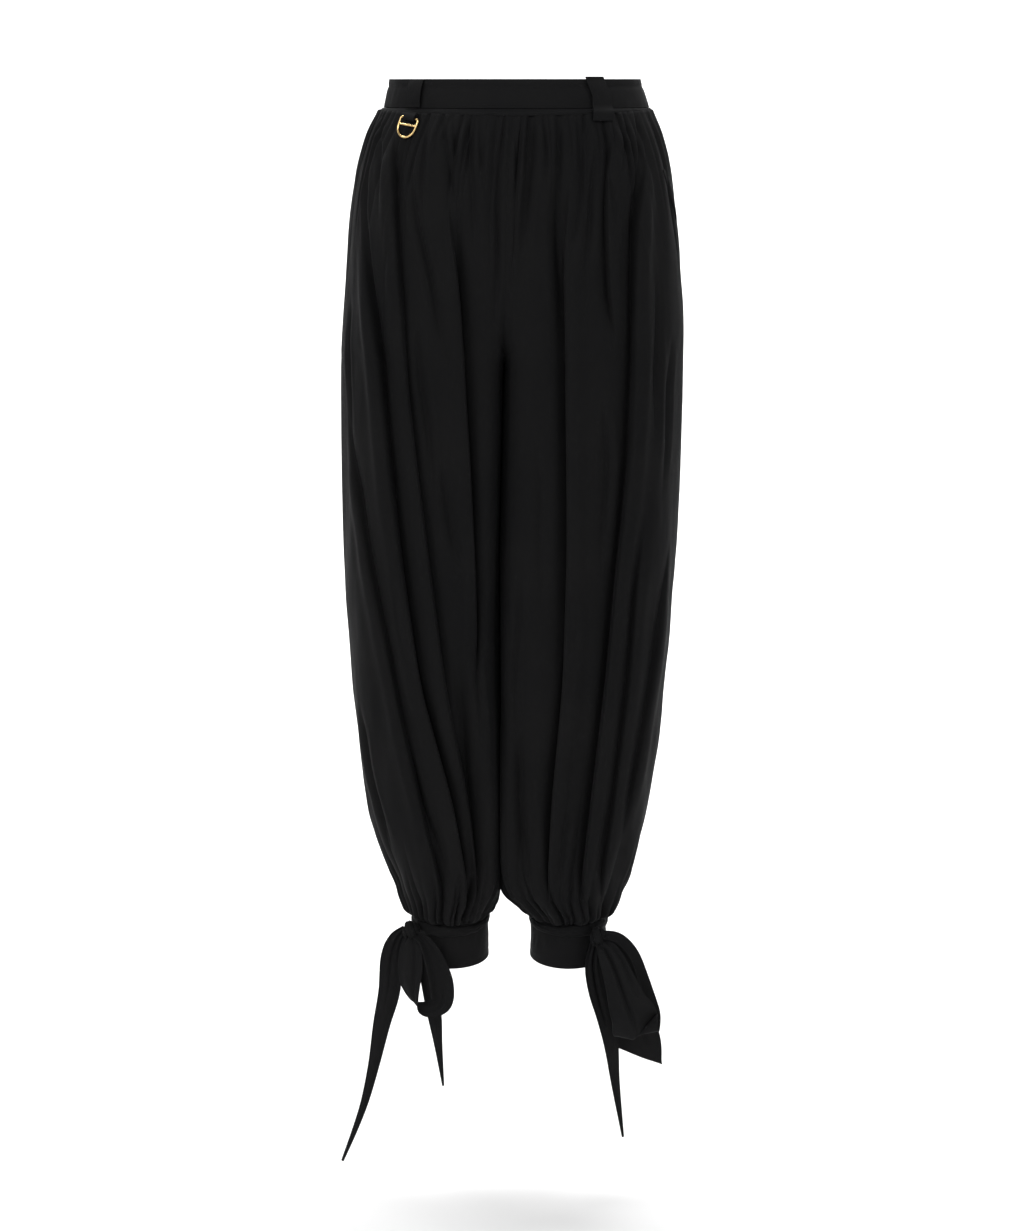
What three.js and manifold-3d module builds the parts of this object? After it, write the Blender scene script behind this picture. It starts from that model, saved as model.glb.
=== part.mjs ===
// Gathered trousers: two wide hollow legs hung from a flat waistband and drawn in
// to narrow cuffs, each cuff closed by a tie in a bow, with a D-ring at one hip.
//
// Millimetres, +Z up. The origin is the centre of the waist at the band's top edge.
// The front faces -Y. "left" and "right" are the wearer's, so right is at -X.

import * as THREE from 'three';
import Module from 'manifold-3d';
import { mergeVertices } from 'three/addons/utils/BufferGeometryUtils.js';

const wasm = await Module();
wasm.setup();

// ---------- driving dimensions ----------

const SEAM_GAP = 0.3;            // between pieces that are sewn or lie together
const CLOTH = 2.4;               // wall of a leg panel
const BAND_CLOTH = 3.0;          // doubled and stiffened
const STRIP_CLOTH = 1.5;         // belt loops, tab, ties

const BAND_HEIGHT = 27;
const BAND_TOP = { right: -128, left: 128, depth: 95 };
const BAND_BOTTOM = { right: -134, left: 137, depth: 100 };
const WELT_SIDE = 3.0;           // height of the welt at the side seams
const WELT_EXTRA = 4.0;          // and what it gains towards the middle

const GATHERS = 10;              // on each leg panel, at the waist and at the ankle
const COLUMNS_A_GATHER = 4;
const PANEL_COLUMNS = GATHERS * COLUMNS_A_GATHER;
const WAIST_GATHER = 2.0;        // half height of a gather at the waist seam
const ANKLE_GATHER = 2.2;
const WAIST_FADE = 95;           // length over which the small gathers die out
const ANKLE_FADE = 60;
const WAIST_SINK = 0.8;          // how far the gathers are drawn in under the band
const WIDE_WAVE = 1.4;           // gathers that have merged two by two
const WAIST_MERGE = 80;          // how far from the seam they are highest
const ANKLE_MERGE = 70;

const ANKLE = -900;              // height of the seam between leg and cuff
const HEM = -952;
const CUFFS = {
  right: { x: -71, radius: 41 },
  left: { x: 59.5, radius: 41.5 },
};
const CUFF_DEPTH = 1.05;         // front-to-back radius over side-to-side radius
const CUFF_FLARE = 1.0;

const KNOT_ANGLES = { right: 140, left: 50 };
const WRAP_HEIGHT = 9;
const WRAP_EXTRA = 4;            // more height near the knot
const WRAP_RISE = 2.5;           // and how far it lies higher there
const WRAP_ROLL = 1.2;           // how much the roll stands out, of its thickness

const LOOP_WIDTH = 18;
const LOOP_BULGE = 2.6;          // how far a belt loop stands off the band
const GATHER_CLEAR = 2.1;        // what lies over the gathers stands off this much more

const RING_WIRE = 1.1;           // wire radius
const RING_HALF = 11.2;          // half width between wire centres
const RING_ARM = 8.6;            // straight sides, above the round end
const RING_BAR_DROP = 7.2;       // crossbar below the top bar
const RING_HEIGHT = -38;         // height of the top bar
const RING_X = -101;
const RING_OUT = 4.5;            // top bar's middle, out from the panel
const BODY_AT_RING = { half: 141, flatness: 0.72 };
const TAB_WIDTH = 14;
const TAB_DROP = 6.6;            // from the top bar up to the tab's ends

const POCKET = {
  top: { v: 0.79, z: -88 },
  bottom: { v: 0.955, z: -205 },
  bow: 0.02,
  width: 0.05,
  taper: 0.7,
};

// ---------- short tables ----------

const table = (columns, ...rows) =>
  rows.map((row) => Object.fromEntries(columns.map((name, i) => [name, row[i]])));

// The outline of both legs at each height: the outer edges, the middle plane where
// the legs meet, how far they have parted (0 one body, 1 two legs), the half depth,
// the shift to the back, the roundness of a leg's outer and inner side (2 is an
// ellipse, more is squarer), and the gap from the middle plane to each leg.
const OUTLINE = table(
  ['z', 'right', 'left', 'middle', 'parted', 'depth', 'shift', 'outer', 'inner', 'gapRight', 'gapLeft'],
  [-27, -134, 137, 0, 0.00, 100, 0, 2.00, 2.0, 0.15, 0.15],
  [-31, -138, 139, 0, 0.00, 103, 0, 2.00, 2.0, 0.15, 0.15],
  [-44, -145, 145, -2, 0.02, 107, 0, 2.03, 2.1, 0.15, 0.15],
  [-68, -155, 154, -4, 0.08, 112, 1, 2.08, 2.2, 0.15, 0.15],
  [-92, -162, 160, -6, 0.14, 115, 2, 2.12, 2.4, 0.15, 0.15],
  [-128, -168, 165, -8, 0.26, 119, 4, 2.18, 2.7, 0.15, 0.15],
  [-165, -172, 170, -8, 0.40, 121, 6, 2.22, 3.1, 0.15, 0.15],
  [-200, -175, 173, -8, 0.54, 122, 7, 2.25, 3.4, 0.15, 0.15],
  [-227, -178, 176, -8, 0.68, 122, 7, 2.28, 3.7, 0.15, 0.15],
  [-252, -180, 177, -9, 0.82, 121, 7, 2.30, 3.9, 0.15, 0.15],
  [-277, -182, 177, -9, 0.94, 120, 6, 2.30, 4.0, 0.15, 0.15],
  [-290, -182, 177, -10, 1.00, 119, 6, 2.30, 4.0, 0.15, 0.15],
  [-328, -182, 176, -11, 1.00, 116, 5, 2.30, 4.0, 0.8, 0.8],
  [-379, -182, 175, -12, 1.00, 112, 4, 2.30, 4.0, 1.2, 1.2],
  [-430, -182, 174, -13, 1.00, 107, 2, 2.30, 4.0, 1.2, 1.2],
  [-483, -182, 172, -14, 1.00, 102, 1, 2.30, 4.0, 1.2, 1.2],
  [-535, -181, 168, -14, 1.00, 97, 0, 2.30, 4.0, 1.2, 1.2],
  [-589, -177, 166, -14, 1.00, 92, 0, 2.28, 4.0, 1.2, 1.2],
  [-643, -175, 160, -14, 1.00, 87, 0, 2.25, 3.9, 1.2, 1.2],
  [-697, -170, 157, -14, 1.00, 82, 0, 2.22, 3.8, 1.2, 1.2],
  [-752, -163, 150, -14, 1.00, 77, 0, 2.18, 3.5, 1.2, 1.2],
  [-780, -159, 146, -14, 1.00, 74, 0, 2.15, 3.3, 1.2, 1.2],
  [-808, -152, 140, -14, 1.00, 70, 0, 2.12, 3.0, 1.2, 1.2],
  [-836, -140, 132, -14, 1.00, 66, 0, 2.10, 2.7, 1.4, 1.4],
  [-856, -132, 127, -14, 1.00, 62, 0, 2.05, 2.4, 2, 4],
  [-876, -124, 119, -14, 1.00, 56, 0, 2.02, 2.2, 5, 11],
  [-890, -119, 113, -14, 1.00, 51, 0, 2.00, 2.0, 10, 22],
  [-900, -114, 104, -14, 1.00, 46, 0, 2.00, 2.0, 14, 30],
);

// The heights of a leg panel's rows, below its top edge.
const PANEL_ROWS = [
  -31, -42, -58, -82, -118, -165, -215, -255, -290, -350, -430, -520, -610, -700, -765,
  -815, -850, -880, -900,
];

// The largest folds. away is the distance from the middle plane at FOLD_HEIGHTS. A
// fold sinks by depth, and most of it lies within width to either side.
const FOLD_HEIGHTS = [-60, -130, -200, -280, -380, -480, -620, -750, -860];
const FOLDS = table(
  ['side', 'face', 'top', 'bottom', 'away', 'depth', 'width'],
  ['right', 'front', -340, -890, [188, 180, 173, 165, 154, 135, 110, 84, 61], 7, 14],
  ['right', 'front', -90, -895, [145, 142, 138, 124, 113, 101, 82, 49, 32], 16, 15],
  ['right', 'front', -35, -880, [114, 109, 105, 97, 85, 72, 56, 32, 20], 9, 12],
  ['right', 'front', -90, -600, [57, 52, 45, 38, 30, 24, 20, 18, 18], 14, 14],
  ['left', 'front', -90, -895, [54, 54, 54, 58, 62, 65, 62, 51, 47], 20, 15],
  ['left', 'front', -40, -270, [95, 96, 99, 107, 112, 118, 126, 134, 140], 7, 12],
  ['left', 'front', -60, -890, [132, 128, 125, 127, 127, 119, 108, 94, 83], 17, 15],
  ['left', 'front', -420, -890, [154, 152, 150, 147, 145, 140, 133, 119, 104], 7, 12],
  ['left', 'front', -460, -800, [180, 180, 180, 180, 178, 173, 158, 138, 106], 7, 13],
  ['right', 'back', -80, -600, [56, 53, 49, 42, 34, 27, 22, 20, 20], 12, 14],
  ['right', 'back', -50, -890, [100, 96, 92, 88, 84, 76, 62, 46, 34], 16, 15],
  ['right', 'back', -200, -880, [138, 136, 134, 134, 130, 126, 112, 92, 74], 10, 14],
  ['left', 'back', -60, -560, [62, 58, 54, 48, 38, 30, 26, 24, 24], 13, 14],
  ['left', 'back', -70, -890, [110, 106, 104, 104, 100, 94, 80, 62, 48], 15, 15],
  ['left', 'back', -260, -885, [150, 150, 150, 152, 150, 146, 132, 112, 90], 9, 14],
);

// A row for each point on a tie's middle line: its place, the width there, turn, the
// way the strip faces in degrees from -Y towards +X, and the tilt of its width.
const TIE_COLUMNS = ['x', 'y', 'z', 'width', 'turn', 'tilt'];
const TIES = {
  bow_loop_right: table(TIE_COLUMNS,
    [-117.7, -39.4, -920.3, 10, -25, 0], [-119, -47, -926, 24, -42, 0], [-122, -54, -949, 30, -48, 0],
    [-116, -57, -971, 34, -50, -12], [-104, -58, -984, 36, -55, -35], [-87, -58, -983, 34, -30, -42],
    [-75, -58, -966, 34, -20, -20], [-81, -56, -943, 32, -12, 0], [-93, -50, -925, 24, -12, 0],
    [-112.7, -37.9, -921.6, 10, -15, 0]),
  tail_right_long: table(TIE_COLUMNS,
    [-122.7, -26.9, -920, 9, 0, 0], [-136, -29, -924, 22, -30, 0], [-143, -30, -947, 26, -40, 0],
    [-143, -30, -995, 32, -35, 0], [-153, -28, -1039, 24, -45, 0], [-166, -25, -1099, 14, -50, 0],
    [-194, -22, -1188, 3, -50, 0]),
  tail_right_short: table(TIE_COLUMNS,
    [-115.7, -31.9, -921, 12, -20, 0], [-105, -40, -949, 24, -18, 0], [-87, -44, -1003, 22, -10, 0],
    [-83, -43, -1061, 12, -10, 0], [-80, -41, -1090, 3, -10, 0]),
  bow_loop_left: table(TIE_COLUMNS,
    [92, -56, -923, 11, 10, 0], [107, -66, -929, 40, 10, 0], [119, -70, -966, 50, 15, 0],
    [130, -67, -1002, 50, 15, 0], [134, -60, -1021, 48, 15, 0], [132, -53, -1016, 46, 15, 0],
    [123, -51, -974, 44, 20, 0], [110, -52, -938, 36, 20, 0], [92, -52, -926.5, 10, 10, 0]),
  tail_left_long: table(TIE_COLUMNS,
    [87, -48, -922, 10, 5, 0], [85, -47, -949, 24, 10, 0], [93, -46, -988, 26, 20, 0],
    [105, -45, -1048, 20, 35, 0], [116, -42, -1110, 12, 40, 0], [121, -40, -1150, 3, 40, 0]),
  tail_left_short: table(TIE_COLUMNS,
    [97, -44.5, -921.7, 10, 20, 0], [112, -32, -952, 34, 25, 0], [128, -30, -1001, 42, 20, 0],
    [142, -28, -1058, 44, 20, 0], [145, -28, -1070, 40, 20, 0]),
};
const KNOTS = {
  right: { x: -116.7, y: -32.9, z: -911, wide: 12, deep: 9, high: 9 },
  left: { x: 91, y: -47.5, z: -912.5, wide: 12, deep: 9, high: 9 },
};

// ---------- numbers ----------

const mix = (a, b, t) => a + (b - a) * t;
const clamp01 = (t) => Math.min(1, Math.max(0, t));
const smooth = (t) => clamp01(t) ** 2 * (3 - 2 * clamp01(t));
const steps = (count) => Array.from({ length: count + 1 }, (_, i) => i / count);
const signOf = (side) => (side === 'left' ? 1 : -1);
const radians = (degrees) => (degrees * Math.PI) / 180;

// The named columns of a table at a height, by straight lines between its rows.
function readTable(rows, z) {
  let i = 0;
  while (i < rows.length - 2 && z < rows[i + 1].z) i += 1;
  const t = clamp01((rows[i].z - z) / (rows[i].z - rows[i + 1].z));
  const read = {};
  for (const name of Object.keys(rows[i])) read[name] = mix(rows[i][name], rows[i + 1][name], t);
  return read;
}

function readList(heights, values, z) {
  let i = 0;
  while (i < heights.length - 2 && z < heights[i + 1]) i += 1;
  return mix(values[i], values[i + 1], clamp01((heights[i] - z) / (heights[i] - heights[i + 1])));
}

// ---------- closed walls ----------

// A closed mesh between two grids of points with the same rows and columns. A ring
// joins its last column to its first.
function wallGeometry(outer, inner, ring = false) {
  const rows = outer.length;
  const columns = outer[0].length;
  const position = [...outer.flat(), ...inner.flat()].flatMap((p) => [p.x, p.y, p.z]);
  const at = (layer, r, c) => layer * rows * columns + r * columns + (c % columns);
  const index = [];
  const quad = (a, b, c, d) => index.push(a, b, c, a, c, d);
  const spans = ring ? columns : columns - 1;
  for (let r = 0; r < rows - 1; r += 1) {
    for (let c = 0; c < spans; c += 1) {
      quad(at(0, r, c), at(0, r + 1, c), at(0, r + 1, c + 1), at(0, r, c + 1));
      quad(at(1, r, c), at(1, r, c + 1), at(1, r + 1, c + 1), at(1, r + 1, c));
    }
  }
  for (let c = 0; c < spans; c += 1) {
    quad(at(0, 0, c), at(0, 0, c + 1), at(1, 0, c + 1), at(1, 0, c));
    const r = rows - 1;
    quad(at(0, r, c + 1), at(0, r, c), at(1, r, c), at(1, r, c + 1));
  }
  for (let r = 0; r < rows - 1 && !ring; r += 1) {
    quad(at(0, r + 1, 0), at(0, r, 0), at(1, r, 0), at(1, r + 1, 0));
    const c = columns - 1;
    quad(at(0, r, c), at(0, r + 1, c), at(1, r + 1, c), at(1, r, c));
  }
  return facingOut(position, index);
}

// Turns every face round where the mesh was wound inwards.
function facingOut(position, index) {
  const p = (i) => new THREE.Vector3().fromArray(position, 3 * i);
  let volume = 0;
  for (let i = 0; i < index.length; i += 3) {
    volume += p(index[i]).dot(p(index[i + 1]).cross(p(index[i + 2])));
  }
  if (volume < 0) index.reverse();
  const geometry = new THREE.BufferGeometry();
  geometry.setAttribute('position', new THREE.Float32BufferAttribute(position, 3));
  geometry.setIndex(index);
  geometry.computeVertexNormals();
  return geometry;
}

// ---------- materials ----------

const cloth = () => new THREE.MeshStandardMaterial({ color: 0x16171a, roughness: 0.9 });
const brass = () => new THREE.MeshStandardMaterial({ color: 0xc79a4b, roughness: 0.3, metalness: 1 });

const trousers = new THREE.Group();

function addPiece(name, geometry, material = cloth()) {
  const mesh = new THREE.Mesh(geometry, material);
  mesh.name = name;
  trousers.add(mesh);
}

// ---------- waistband and welt ----------

// A point on the body's rounded section at a height. angle runs from the left side
// seam (0) over the front (90) to the right side seam (180) and the back (270).
function waistPoint(z, angle, out = 0) {
  const top = { ...BAND_TOP, z: 0 };
  const bottom = { ...BAND_BOTTOM, z: -BAND_HEIGHT };
  const row = z >= -BAND_HEIGHT ? readTable([top, bottom], z) : readTable(OUTLINE, z);
  const middle = (row.left + row.right) / 2;
  const wide = (row.left - row.right) / 2;
  const c = Math.cos(angle);
  const s = Math.sin(angle);
  const normal = new THREE.Vector3(c / wide, -s / row.depth, 0).normalize();
  const point = new THREE.Vector3(middle + wide * c, -row.depth * s, z);
  return point.addScaledVector(normal, out);
}

// The welt is tallest in the middle and narrows towards the side seams.
const weltHeight = (x) => WELT_SIDE + WELT_EXTRA * clamp01(1 - (x / BAND_BOTTOM.left) ** 2);
const faceStart = { front: 0, back: Math.PI };

// Half of a band around the waist, between two edges given as heights by angle.
function bandHalf(face, topEdge, bottomEdge, thickness, out) {
  const columns = 28;
  const trim = SEAM_GAP / 2 / BAND_BOTTOM.left;
  const angles = steps(columns).map((t) => mix(trim, Math.PI - trim, t) + faceStart[face]);
  const edge = (height, layer) => angles.map((a) => waistPoint(height(a), a, layer));
  return wallGeometry(
    [edge(topEdge, out + thickness), edge(bottomEdge, out + thickness)],
    [edge(topEdge, out), edge(bottomEdge, out)],
  );
}

function buildWaist() {
  for (const face of ['front', 'back']) {
    const band = bandHalf(face, () => 0, () => -BAND_HEIGHT, BAND_CLOTH, -BAND_CLOTH);
    addPiece(`waistband_${face}`, band);
    const weltTop = () => -BAND_HEIGHT - SEAM_GAP;
    const weltBottom = (a) => -BAND_HEIGHT - weltHeight(BAND_BOTTOM.left * Math.cos(a));
    addPiece(`welt_${face}`, bandHalf(face, weltTop, weltBottom, BAND_CLOTH, -BAND_CLOTH + 0.8));
  }
}

// ---------- leg panels ----------

const SECTION_POINTS = 160;

// One leg's section on one face at a height, as a function of the place over the
// panel: 0 at the middle seam (the inseam below the fork), 1 at the side seam.
function legSection(side, face, z) {
  const row = readTable(OUTLINE, z);
  const gap = side === 'left' ? row.gapLeft : row.gapRight;
  const reach = Math.abs(row[side] - row.middle);
  const parted = row.parted >= 1;
  const half = parted ? (reach - gap) / 2 : reach / (1 + row.parted);
  const centre = reach - half;
  const cut = clamp01((centre - gap) / half) ** (row.inner / 2);
  const start = parted ? Math.PI : Math.acos(-cut);
  const points = steps(SECTION_POINTS).map((t) => {
    const angle = start * (1 - t);
    const power = 2 / (angle > Math.PI / 2 ? row.inner : row.outer);
    const away = centre + half * signedPower(Math.cos(angle), power);
    const deep = row.depth * Math.abs(Math.sin(angle)) ** power;
    return new THREE.Vector2(away, face === 'front' ? -deep : deep);
  });
  const lengths = [0];
  for (let i = 1; i < points.length; i += 1) {
    lengths.push(lengths[i - 1] + points[i].distanceTo(points[i - 1]));
  }
  const total = lengths[SECTION_POINTS];
  const trim = SEAM_GAP / 2 + 0.05;
  const place = (across) => {
    const wanted = mix(trim, total - trim, across);
    let i = 1;
    while (i < SECTION_POINTS && lengths[i] < wanted) i += 1;
    const t = (wanted - lengths[i - 1]) / (lengths[i] - lengths[i - 1]);
    const p = points[i - 1].clone().lerp(points[i], t);
    const before = points[Math.max(0, i - 3)];
    const after = points[Math.min(SECTION_POINTS, i + 2)];
    const along = after.clone().sub(before).normalize();
    const outward = face === 'front' ? 1 : -1;
    const onFace = p.x > centre ? 1 : smooth((Math.abs(p.y) / row.depth - 0.5) / 0.35);
    return { p, normal: new THREE.Vector2(along.y * outward, -along.x * outward), onFace };
  };
  return { place, row, gap };
}

const signedPower = (value, power) => Math.sign(value) * Math.abs(value) ** power;

// Gathers are even in this number, which runs unevenly over the panel.
const uneven = (v, seed) =>
  v + 0.012 * Math.sin(9 * v + seed) * Math.sin(Math.PI * v)
  + 0.006 * Math.sin(23 * v + 2 * seed) * Math.sin(Math.PI * v);

const rise = (distance, peak) => (distance / peak) * Math.exp(1 - distance / peak);

function gatherHeight(v, z, seed) {
  const fromWaist = Math.max(0, PANEL_ROWS[0] - z);
  const fromAnkle = Math.max(0, z - ANKLE);
  const fine = Math.cos(2 * Math.PI * GATHERS * v);
  const wide = Math.sin(Math.PI * GATHERS * v + 0.6 * Math.sin(5 * v + seed));
  const waist = Math.exp(-((fromWaist / WAIST_FADE) ** 2));
  const ankle = Math.exp(-((fromAnkle / ANKLE_FADE) ** 2));
  const merged = rise(fromWaist, WAIST_MERGE) + rise(fromAnkle, ANKLE_MERGE);
  return fine * (WAIST_GATHER * waist + ANKLE_GATHER * ankle) + wide * WIDE_WAVE * merged
    - WAIST_SINK * waist;
}

function foldHeight(side, face, away, z) {
  let height = 0;
  for (const fold of FOLDS) {
    if (fold.side !== side || fold.face !== face) continue;
    const strength = smooth((fold.top - z) / 90) * smooth((z - fold.bottom) / 90);
    const off = (away - readList(FOLD_HEIGHTS, fold.away, z)) / fold.width;
    height -= fold.depth * strength * (Math.exp(-off * off) - 0.3 * Math.exp(-off * off / 6));
  }
  return height;
}

// The outer point of a panel and the way out of it, at a place and a height.
function panelPoint(side, face, v, z, lift = 0) {
  const seed = { right: 1.3, left: 3.1 }[side] + { front: 0, back: 2.2 }[face];
  const section = legSection(side, face, z);
  const { p, normal, onFace } = section.place(uneven(v, seed));
  const free = smooth(v / 0.05) * smooth((1 - v) / 0.05);
  const fold = onFace * foldHeight(side, face, p.x, z);
  const high = lift + free * (gatherHeight(v, z, seed) + fold);
  const away = Math.max(section.gap - Math.min(lift, 0), p.x + normal.x * high);
  const deep = section.row.shift + p.y + normal.y * high;
  return new THREE.Vector3(section.row.middle + signOf(side) * away, deep, z);
}

// The top edge of a panel follows the welt, and the rows below level out.
function panelHeight(side, face, v, z) {
  const x = panelPoint(side, face, v, PANEL_ROWS[0]).x;
  const top = -BAND_HEIGHT - weltHeight(x) - SEAM_GAP - 0.1;
  return z + (top - PANEL_ROWS[0]) * (1 - smooth((PANEL_ROWS[0] - z) / 50));
}

function buildPanel(side, face) {
  const grid = (lift) => PANEL_ROWS.map((z) => steps(PANEL_COLUMNS).map((v) =>
    panelPoint(side, face, v, panelHeight(side, face, v, z), lift)));
  addPiece(`leg_${side}_${face}`, wallGeometry(grid(0), grid(-CLOTH)));
}

// The pocket's mouth is a narrow strip that lies on the left front panel.
function buildPocket() {
  const { top, bottom, bow, width, taper } = POCKET;
  const lifts = [3 * SEAM_GAP, 3 * SEAM_GAP + STRIP_CLOTH];
  const [inner, outer] = lifts.map((lift) => steps(14).map((t) => [-0.5, 0, 0.5].map((side) => {
    const v = mix(top.v, bottom.v, t) + bow * Math.sin(Math.PI * t) + side * width * mix(1, taper, t);
    return panelPoint('left', 'front', v, mix(top.z, bottom.z, t), lift);
  })));
  addPiece('pocket_left', wallGeometry(outer, inner));
}

// ---------- belt loops ----------

function buildBeltLoop(name, centre, lean, top, bottom) {
  const grid = (layer) => steps(9).map((t) => [-0.5, 0, 0.5].map((side) => {
    const z = mix(top, bottom, t);
    const slide = lean * (t - 0.5) + side * LOOP_WIDTH;
    const angle = radians(centre) - slide / BAND_TOP.left;
    const belowBand = GATHER_CLEAR * smooth((-BAND_HEIGHT + 4 - z) / 7);
    const stand = 2 * SEAM_GAP + LOOP_BULGE * Math.sin(Math.PI * t) ** 0.7 + belowBand;
    return waistPoint(Math.min(z, 0), angle, stand + layer).setZ(z);
  }));
  addPiece(name, wallGeometry(grid(STRIP_CLOTH), grid(0)));
}

function buildBeltLoops() {
  const bandEdge = -BAND_HEIGHT + 0.5;
  buildBeltLoop('belt_loop_front_right', 140.5, 0, 0, bandEdge);
  buildBeltLoop('belt_loop_front_left', 51.5, 5, 3.5, -39);
  buildBeltLoop('belt_loop_back_right', 230, 0, 0, bandEdge);
  buildBeltLoop('belt_loop_back_left', 310, 0, 0, bandEdge);
}

// ---------- D-ring and its tab ----------

// The ring's own frame lies on the slope of the cloth below the band.
function ringFrame() {
  const angle = Math.acos(RING_X / BODY_AT_RING.half);
  const surface = waistPoint(RING_HEIGHT, angle);
  const lower = waistPoint(RING_HEIGHT - 12, angle);
  const down = lower.clone().sub(surface).normalize();
  const side = new THREE.Vector3(
    -Math.sin(angle), -BODY_AT_RING.flatness * Math.cos(angle), 0).normalize();
  const out = new THREE.Vector3().crossVectors(down, side).normalize();
  if (out.y > 0) out.negate();
  side.crossVectors(out, down).normalize();
  return { surface, side, out, down };
}

function ringPoint(frame, across, out, down) {
  return frame.surface.clone()
    .addScaledVector(frame.side, across)
    .addScaledVector(frame.out, out)
    .addScaledVector(frame.down, down);
}

// A round wire through a list of points, closed on itself or with flat ends.
function wireGeometry(points, ring, normal) {
  const sides = 8;
  const n = points.length;
  const position = [];
  points.forEach((p, i) => {
    const before = points[ring ? (i + n - 1) % n : Math.max(0, i - 1)];
    const after = points[ring ? (i + 1) % n : Math.min(n - 1, i + 1)];
    const along = after.clone().sub(before).normalize();
    const across = new THREE.Vector3().crossVectors(along, normal).normalize();
    for (let k = 0; k < sides; k += 1) {
      const a = (2 * Math.PI * k) / sides;
      const q = p.clone()
        .addScaledVector(normal, RING_WIRE * Math.sin(a))
        .addScaledVector(across, RING_WIRE * Math.cos(a));
      position.push(q.x, q.y, q.z);
    }
  });
  const at = (i, k) => (i % n) * sides + (k % sides);
  const index = [];
  const spans = ring ? n : n - 1;
  for (let i = 0; i < spans; i += 1) {
    for (let k = 0; k < sides; k += 1) {
      index.push(at(i, k), at(i + 1, k), at(i + 1, k + 1), at(i, k), at(i + 1, k + 1), at(i, k + 1));
    }
  }
  if (!ring) {
    for (let k = 1; k < sides - 1; k += 1) {
      index.push(at(0, 0), at(0, k), at(0, k + 1));
      index.push(at(n - 1, 0), at(n - 1, k + 1), at(n - 1, k));
    }
  }
  return facingOut(position, index);
}

function toSolid(geometry) {
  geometry.deleteAttribute('normal');
  const merged = mergeVertices(geometry, 1e-4);
  const vertProperties = merged.attributes.position.array;
  const triVerts = new Uint32Array(merged.index.array);
  return new wasm.Manifold(new wasm.Mesh({ numProp: 3, vertProperties, triVerts }));
}

function toGeometry(solid) {
  const mesh = solid.getMesh();
  return facingOut(Array.from(mesh.vertProperties), Array.from(mesh.triVerts));
}

function buildRing() {
  const frame = ringFrame();
  const outline = [];
  for (const x of [1, 0.5, 0, -0.5, -1]) outline.push([x * RING_HALF, 0]);
  for (const t of steps(14)) {
    const a = Math.PI * (1 - t);
    outline.push([RING_HALF * Math.cos(a), RING_ARM + RING_HALF * Math.sin(a)]);
  }
  const points = outline.map(([across, down]) => ringPoint(frame, across, RING_OUT, down));
  const ring = toSolid(wireGeometry(points, true, frame.out));
  const ends = [-1, 1].map((s) =>
    ringPoint(frame, s * (RING_HALF - 0.2), RING_OUT, RING_BAR_DROP - 0.4 * s));
  const bar = toSolid(wireGeometry(ends, false, frame.out));
  addPiece('d_ring', toGeometry(ring.add(bar)), brass());
}

// The tab is a strip that goes down behind the ring's top bar and up in front.
function buildRingTab() {
  const frame = ringFrame();
  const bend = RING_WIRE + SEAM_GAP + STRIP_CLOTH / 2;
  const path = [[RING_OUT - bend, -TAB_DROP], [RING_OUT - bend, -TAB_DROP / 2], [RING_OUT - bend, 0]];
  for (const t of steps(6).slice(1)) {
    const a = Math.PI * t;
    path.push([RING_OUT - bend * Math.cos(a), bend * Math.sin(a)]);
  }
  path.push([RING_OUT + bend - 0.4, -0.35 * TAB_DROP]);
  path.push([RING_OUT + bend - 1.6, -0.7 * TAB_DROP]);
  path.push([RING_OUT - bend + 2.2, -TAB_DROP]);
  const grid = (layer) => path.map(([out, down], i) => {
    const before = path[Math.max(0, i - 1)];
    const after = path[Math.min(path.length - 1, i + 1)];
    const length = Math.hypot(after[0] - before[0], after[1] - before[1]);
    const turnOut = (after[1] - before[1]) / length;
    const turnDown = -(after[0] - before[0]) / length;
    return [-0.5, 0.5].map((side) => ringPoint(
      frame, side * TAB_WIDTH, out + turnOut * layer, down + turnDown * layer));
  });
  addPiece('ring_tab', wallGeometry(grid(STRIP_CLOTH / 2), grid(-STRIP_CLOTH / 2)));
}

// ---------- cuffs, ties and knots ----------

function cuffPoint(cuff, angle, z, out) {
  const radius = cuff.radius + CUFF_FLARE * (ANKLE - z) / (ANKLE - HEM) + out;
  const x = cuff.x + radius * Math.cos(angle);
  const y = -(radius + cuff.radius * (CUFF_DEPTH - 1)) * Math.sin(angle);
  return new THREE.Vector3(x, y, z);
}

const aroundCuff = steps(28).slice(0, 28).map((t) => 2 * Math.PI * t);

function buildCuff(side) {
  const cuff = CUFFS[side];
  const heights = [ANKLE - SEAM_GAP, (ANKLE + HEM) / 2, HEM];
  const grid = (out) => heights.map((z) => aroundCuff.map((a) => cuffPoint(cuff, a, z, out)));
  addPiece(`cuff_${side}`, wallGeometry(grid(0), grid(-CLOTH), true));
}

// The tie goes round the top of the cuff as a soft roll, wider towards its knot.
function buildTieWrap(side) {
  const cuff = CUFFS[side];
  const knotAngle = radians(KNOT_ANGLES[side]);
  const grid = (out) => steps(3).map((t) => aroundCuff.map((a) => {
    const near = 0.5 + 0.5 * Math.cos(a - knotAngle);
    const z = ANKLE - 1 - (WRAP_HEIGHT + WRAP_EXTRA * near) * t - WRAP_RISE * (1 - near);
    const ridge = out * (0.5 + WRAP_ROLL * Math.sin(Math.PI * t));
    return cuffPoint(cuff, a, z, SEAM_GAP + 0.1 + ridge);
  }));
  addPiece(`tie_wrap_${side}`, wallGeometry(grid(STRIP_CLOTH + 0.6), grid(0), true));
}

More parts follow.
